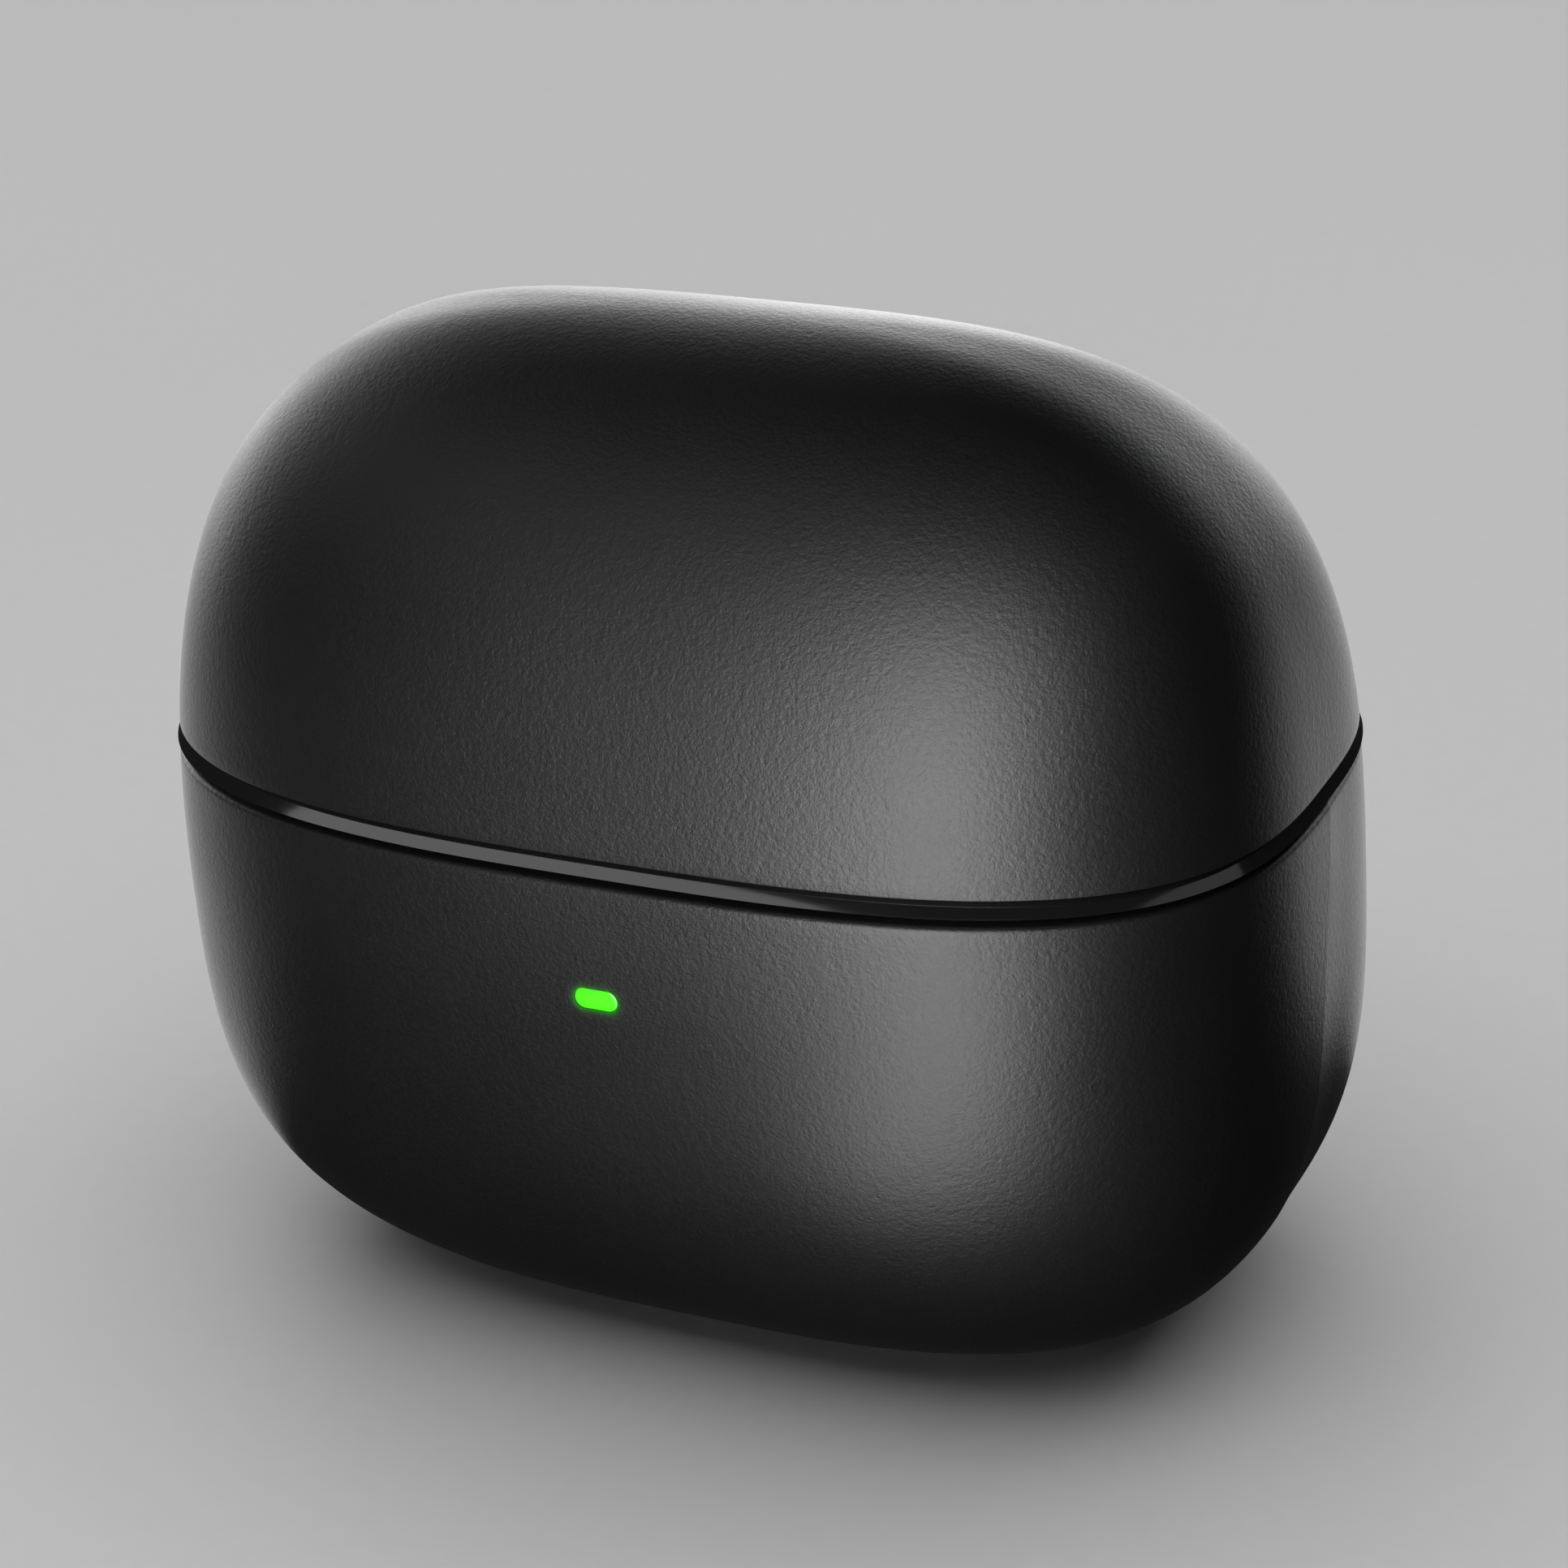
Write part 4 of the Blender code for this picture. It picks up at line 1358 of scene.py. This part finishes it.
@dataclass
class Hinge:
    """Middle knuckle, pin and screws."""

    shank: float = 0.5 * MM
    head: float = 0.55 * MM
    pitch: float = 0.36 * MM
    thread_depth: float = 0.13 * MM
    slot_half: float = 0.14 * MM
    slot_depth: float = 0.35 * MM

    def build(self, finishes: "Finishes") -> None:
        """Rounds the bracket's edges and turns the screws with a cross recess.

        Args:
            finishes: The materials.
        """
        base = Body.BASE.value
        put(softened("base_hinge_bracket", 0.00012), base, finishes.hinge, "steel",
            "base_hinge_bracket")
        low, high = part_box("hinge_pin")
        centre = (low + high) / 2.0
        radius, half = (high.z - low.z) / 2.0, (high.x - low.x) / 2.0
        put(turned("hinge_pin_turned", rod(radius, half), centre, "X", 0.18 * MM), base,
            finishes.steel, "steel", "hinge_pin")
        for node in ("hinge_screw_left", "hinge_screw_right", "board_screw_left",
                     "board_screw_right"):
            put(self.screw(node), base, finishes.screw, "screw_steel", node)

    def screw(self, node: str) -> bpy.types.Object:
        """Pan-head screw along +Y with rolled threads and a cross recess.

        The shank's radius is r - h |2 frac(y / pitch) - 1|, so that ridges follow each other
        down the shank; the recess is two crossed blocks cut from the head.

        Args:
            node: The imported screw.

        Returns:
            The screw.
        """
        low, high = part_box(node)
        centre = (low + high) / 2.0
        radius = (high.x - low.x) / 2.0
        start, end = low.y - centre.y, high.y - centre.y
        under_head = start + self.head
        thread = np.arange(under_head + 0.1 * MM, end - 0.2 * MM, self.pitch / 4.0)
        ridge = np.abs(2.0 * np.mod((thread - start) / self.pitch, 1.0) - 1.0)
        steps = [(0.0, start), (radius * 0.8, start), (radius, start + 0.5 * self.head),
                 (radius, under_head), (self.shank * 0.8, under_head)]
        steps += list(zip(self.shank - self.thread_depth * ridge, thread))
        steps += [(self.shank * 0.35, end), (0.0, end)]
        piece = turned(f"{node}_threaded", steps, centre, "Y", 0.05 * MM, 40)
        arm = radius * 0.55
        cuts = []
        for index, (half_x, half_z) in enumerate(((arm, self.slot_half), (self.slot_half, arm))):
            cuts.append(block(f"recess_{index}",
                              (centre.x - half_x, low.y - MM, centre.z - half_z),
                              (centre.x + half_x, low.y + self.slot_depth, centre.z + half_z)))
        cut_out(piece, cuts)
        return piece


@dataclass
class Electronics:
    """Battery, boards, port, switch, sensor, flex, magnets and the button."""

    button_radius: float = 2.3 * MM
    collar: float = 3.1 * MM
    collar_height: float = 1.0 * MM
    stem: float = 0.9 * MM
    stem_height: float = 2.35 * MM
    dish_depth: float = 0.12 * MM

    def build(self, finishes: "Finishes") -> None:
        """Dresses each inner piece; every one keeps its packed place.

        Args:
            finishes: The materials.
        """
        base = Body.BASE.value
        plain = {
            "battery_cell": (0.0003, finishes.foil, "cell_pouch"),
            "battery_pad": (0.0001, finishes.foam, "foam"),
            "main_board": (0.00005, finishes.board, "green_board"),
            "led_board": (0.00005, finishes.board, "green_board"),
            "usb_c_receptacle": (0.00005, finishes.steel, "steel"),
            "button_switch": (0.00008, finishes.moulded, "black_plastic"),
            "hall_sensor": (0.00006, finishes.moulded, "black_plastic"),
            "led_chip": (0.00006, finishes.chip, "green_lens"),
            "led_flex": (0.00004, finishes.film, "amber_flex"),
            "base_magnet_left": (0.0001, finishes.nickel, "nickel_magnet"),
            "base_magnet_right": (0.0001, finishes.nickel, "nickel_magnet"),
            "bud_magnet_left": (0.00012, finishes.nickel, "nickel_magnet"),
            "bud_magnet_right": (0.00012, finishes.nickel, "nickel_magnet"),
        }
        for node, (rounding, material, slot) in plain.items():
            put(softened(node, rounding), base, material, slot, node)
        put(self.button(), Body.BUTTON.value, finishes.shell, "matte_shell", "pair_button")

    def button(self) -> bpy.types.Object:
        """Turned button with a dished face, a collar and a stem.

        Returns:
            The button.
        """
        low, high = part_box("pair_button")
        centre = (low + high) / 2.0
        start, end = low.y - centre.y, high.y - centre.y
        radius, collar, stem = self.button_radius, self.collar, self.stem
        under = start + self.stem_height
        over = under + self.collar_height
        dish = np.linspace(0.0, 1.0, 10)[::-1]
        face = list(zip(dish * radius * 0.88, end - self.dish_depth * (1.0 - dish ** 2)))
        steps = [(0.0, start), (stem, start), (stem, under), (collar, under), (collar, over),
                 (radius, over), (radius, end)] + face
        return turned("pair_button_cap", steps, centre, "Y", 0.16 * MM, 96)


@dataclass
class StatusLight:
    """Pill-shaped light pipe, a little below the front shell's face."""

    pebble: Pebble
    sink: float = 0.02 * MM
    columns: int = 72

    def build(self, finishes: "Finishes") -> None:
        """Its face follows the shell: y = -(wall(x, z) - sink), with rounded edges.

        Args:
            finishes: The materials.
        """
        low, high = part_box("led_lens")
        centre = (low + high) / 2.0
        half_z = (high.z - low.z) / 2.0 - LIGHT_TRIM
        straight = (high.x - low.x) / 2.0 - LIGHT_TRIM - half_z
        turn = np.linspace(0.0, 2.0 * np.pi, self.columns, endpoint=False) + np.pi / self.columns
        rows = []
        for share, sink in ((0.0, 0.0), (0.3, 0.0), (0.6, 0.0), (0.82, 0.004), (0.93, 0.02),
                            (0.985, 0.05), (1.0, 0.1)):
            x = (np.sign(np.cos(turn)) * straight + half_z * np.cos(turn)) * share + centre.x
            z = half_z * np.sin(turn) * share + centre.z
            rows.append(np.stack([x, self.sink + sink * MM - self.pebble.wall_y(x, z), z], -1))
        rim = rows[-1]
        rows.append(np.column_stack([rim[:, 0], np.full(self.columns, high.y), rim[:, 2]]))
        rows.append(np.tile((centre.x, high.y, centre.z), (self.columns, 1)))
        put(grid_object("led_light_pipe", np.array(rows)), Body.BASE.value, finishes.lens,
            "green_lens", "led_lens")


@dataclass
class Finishes:
    """Every material, made once."""

    def __post_init__(self) -> None:
        """Makes the materials."""
        self.shell = GrainedShell().make()
        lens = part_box("led_lens")
        centre, half = (lens[0] + lens[1]) / 2.0, (lens[1] - lens[0]) / 2.0
        # The front shell's finish carries a painted glow: green emission round the light.
        glow = (centre.x, centre.z, half.x - half.z, half.z - LIGHT_TRIM)
        self.painted_glow_shell = GrainedShell(name="grained_shell_front_painted_glow", glow=glow).make()
        self.gloss = PolishedRing().make()
        self.satin = SatinPlastic().make()
        self.moulded = MouldedPlastic("moulded_black", (0.018, 0.018, 0.019), 0.5).make()
        self.foam = MouldedPlastic("black_foam", (0.03, 0.03, 0.032), 0.92, 0.0005, 0.00012).make()
        self.film = MouldedPlastic("amber_film", (0.48, 0.2, 0.03), 0.32, 0.0008, 0.000004).make()
        self.hinge = BareMetal("blackened_hinge", (0.05, 0.05, 0.053), 0.34).make()
        self.steel = BareMetal("drawn_steel", (0.56, 0.56, 0.58), 0.24).make()
        self.screw = BareMetal("black_oxide", (0.12, 0.12, 0.13), 0.36).make()
        self.nickel = BareMetal("nickel_plate", (0.64, 0.61, 0.56), 0.2).make()
        self.gold = BareMetal("gold_plate", (0.93, 0.67, 0.3), 0.18, (10.0, 10.0, 1.0)).make()
        self.board = CircuitBoard().make()
        self.foil = PouchFoil().make()
        self.lens = LitLens(centre=tuple(centre)).make()
        self.chip = LitLens(name="lit_chip", centre=tuple(centre), half=(0.0009, 0.0005)).make()


# Studio

@dataclass
class Studio:
    """Pale floor, soft lights and the camera.

    The softboxes light the case only, and the floor has a wash of its own. The floor is also
    left out of reflections; a low light behind the case stands in for its glow there.
    """

    azimuth: float = math.radians(27.425)
    elevation: float = math.radians(26.282)
    roll: float = math.radians(-4.451)
    distance: float = 204.8 * MM
    aim_height: float = 24.3 * MM
    lens: float = 95.96
    shift: tuple[float, float] = (0.0122, 0.0187)
    floor_radius: float = 2.8

    def __post_init__(self) -> None:
        """Gathers the pieces that the softboxes light, with and without the glossy ring."""
        self.lit = bpy.data.collections.new("lit_case")
        self.matte = bpy.data.collections.new("lit_matte")
        for piece in DRESSED:
            self.lit.objects.link(piece)
            if piece.name != "rim_ring_gloss":
                self.matte.objects.link(piece)

    def back(self, azimuth: float, elevation: float) -> Vector:
        """Unit vector from the case towards a place at these angles."""
        return Vector((math.sin(azimuth) * math.cos(elevation),
                       -math.cos(azimuth) * math.cos(elevation), math.sin(elevation)))

    def camera(self) -> None:
        """Camera that looks at the middle of the case, rolled about its own axis."""
        back = self.back(self.azimuth, self.elevation)
        right = Vector((math.cos(self.azimuth), math.sin(self.azimuth), 0.0))
        up = back.cross(right)
        side = math.cos(self.roll) * right + math.sin(self.roll) * up
        top = back.cross(side)
        eye = Vector((0.0, 0.0, self.aim_height)) + back * self.distance
        data = bpy.data.cameras.new("camera")
        data.lens = self.lens
        data.sensor_width = 36.0
        data.shift_x, data.shift_y = self.shift
        data.clip_start = 0.01
        data.clip_end = 20.0
        camera = bpy.data.objects.new("camera", data)
        camera.matrix_world = Matrix.Translation(eye) @ Matrix((side, top, back)).transposed().to_4x4()
        bpy.context.scene.collection.objects.link(camera)
        bpy.context.scene.camera = camera

    def softbox(self, name: str, azimuth: float, distance: float, height: float,
                size: tuple[float, float], radiance: float,
                receivers: bpy.types.Collection | None = None) -> bpy.types.Object:
        """Soft light that faces the case, stands on the floor, or lies on it and faces up.

        Args:
            name: Name of the light.
            azimuth: Degrees round from the front, towards +X.
            distance: Level distance of its middle from the middle of the case.
            height: Height of its middle.
            size: Width and height.
            radiance: Brightness of its face.
            receivers: What it lights, or None for the whole case.

        Returns:
            The light.
        """
        data = bpy.data.lights.new(name, "AREA")
        data.shape = "RECTANGLE"
        data.size, data.size_y = size
        data.energy = 4.0 * size[0] * size[1] * radiance
        light = bpy.data.objects.new(name, data)
        place = self.back(math.radians(azimuth), 0.0) * distance + Vector((0.0, 0.0, height))
        stands = height <= size[1] * 0.52
        lies = height < 10.0 * MM
        aim = Vector((0.0, 0.0, height if stands else self.aim_height))
        facing = (place - aim).to_track_quat("Z", "Y")
        if lies:
            data.shape = "ELLIPSE"
            facing = Euler((math.pi, 0.0, math.radians(azimuth))).to_quaternion()
        light.location = place
        light.rotation_euler = facing.to_euler()
        light.visible_camera = False
        light.light_linking.receiver_collection = receivers or self.lit
        bpy.context.scene.collection.objects.link(light)
        return light

    def floor(self) -> None:
        """Large pale sweep: height 0.12 (r - 0.9)^2 + 0.8 (r - 2.4)^2, each from where it starts.

        Far from the case it glows faintly: painted light, an emission growing with distance that
        stands in for lamps lighting the paper.
        """
        radius = np.concatenate([[0.0], np.geomspace(0.02, self.floor_radius, 60)])
        rise = (np.clip(radius - 0.9, 0.0, None) ** 2 * 0.12
                + np.clip(radius - 2.4, 0.0, None) ** 2 * 0.8)
        points = turned_points(radius, rise - 0.02 * MM, (0.0, 0.0, 0.0), "Z", 96)
        sweep = grid_object("floor_sweep", points)
        tree = ShaderTree("pale_paper")
        fibre = tree.noise(0.0012, 4.0, 0.6)
        cloud = tree.noise(0.08, 2.0, 0.5)
        away = tree.node("ShaderNodeVectorMath", {"operation": "LENGTH"}, {0: tree.place}, "Value")
        # Painted light: the floor's emission rises from 0 at 0.3 m to 0.2 at 1 m from the case.
        painted_far_light = tree.ramp(away, [(0.3, 0.0), (1.0, 0.2)])
        tree.set(Base_Color=tree.blend(cloud * 0.5 + fibre * 0.5, grey(0.4), grey(0.45)),
                 Emission_Color=painted_far_light, Roughness=0.55 + (fibre - 0.5) * 0.1)
        tree.set(Emission_Strength=1.0)
        tree.bump(fibre, 0.00003, 0.3)
        sweep.data.materials.append(tree.material)
        sweep.visible_glossy = False
        only = bpy.data.collections.new("lit_floor")
        only.objects.link(sweep)
        self.softbox("floor_wash", 0.0, 0.001, 2.4, (4.4, 4.4), 1.75, only)

    def world(self, strength: float) -> None:
        """Even pale surround.

        Args:
            strength: Its brightness.
        """
        world = bpy.data.worlds.new("surround")
        world.use_nodes = True
        background = world.node_tree.nodes["Background"]
        background.inputs["Color"].default_value = (0.95, 0.97, 1.0, 1.0)
        background.inputs["Strength"].default_value = strength
        bpy.context.scene.world = world

    def build(self) -> None:
        """Sets up the stage."""
        bpy.context.scene.view_settings.view_transform = "Standard"
        self.floor()
        self.world(0.04)
        self.softbox("key", 7.0, 0.13, 0.067, (0.055, 0.134), 42.0)
        self.softbox("low_key", 19.0, 0.085, 0.002, (0.036, 0.1), 18.0)
        self.softbox("over_front", -36.0, 0.347, 0.384, (0.52, 0.19), 1.5)
        self.softbox("strip_right", 68.0, 0.32, 0.41, (0.8, 0.1), 0.42)
        for name, azimuth, radiance in (("back_right", 171.0, 5.0), ("back", -153.0, 4.2),
                                        ("back_left", -114.0, 5.5)):
            self.softbox(name, azimuth, 0.5, 0.16, (0.31, 0.32), radiance, self.matte)
        self.softbox("low_back", -153.0, 0.175, 0.003, (0.62, 0.34), 1.3, self.matte)
        self.softbox("rear_key", -160.0, 0.3, 0.12, (0.06, 0.24), 1.8)
        self.camera()


def main() -> None:
    """Builds every sub-assembly in order."""
    logging.basicConfig(level=logging.INFO, format="%(message)s")
    low, high = CAD_BOX
    pebble = Pebble(half_width=(high[0] - low[0]) / 2.0, half_depth=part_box("base_rear_shell")[1].y,
                    top=50.3 * MM)
    joints = {joint["name"]: joint for joint in FRAME["joints"]}
    hinge = Vector(joints["lid_hinge"]["pos_m"])
    finishes = Finishes()
    for assembly in (Lid(pebble, hinge), BaseShells(pebble, hinge), RimRing(pebble),
                     BudTray(pebble), Contacts(), Hinge(), Electronics(), StatusLight(pebble)):
        LOG.info("building %s", type(assembly).__name__)
        assembly.build(finishes)
    Studio().build()


if __name__ == "__main__":
    main()
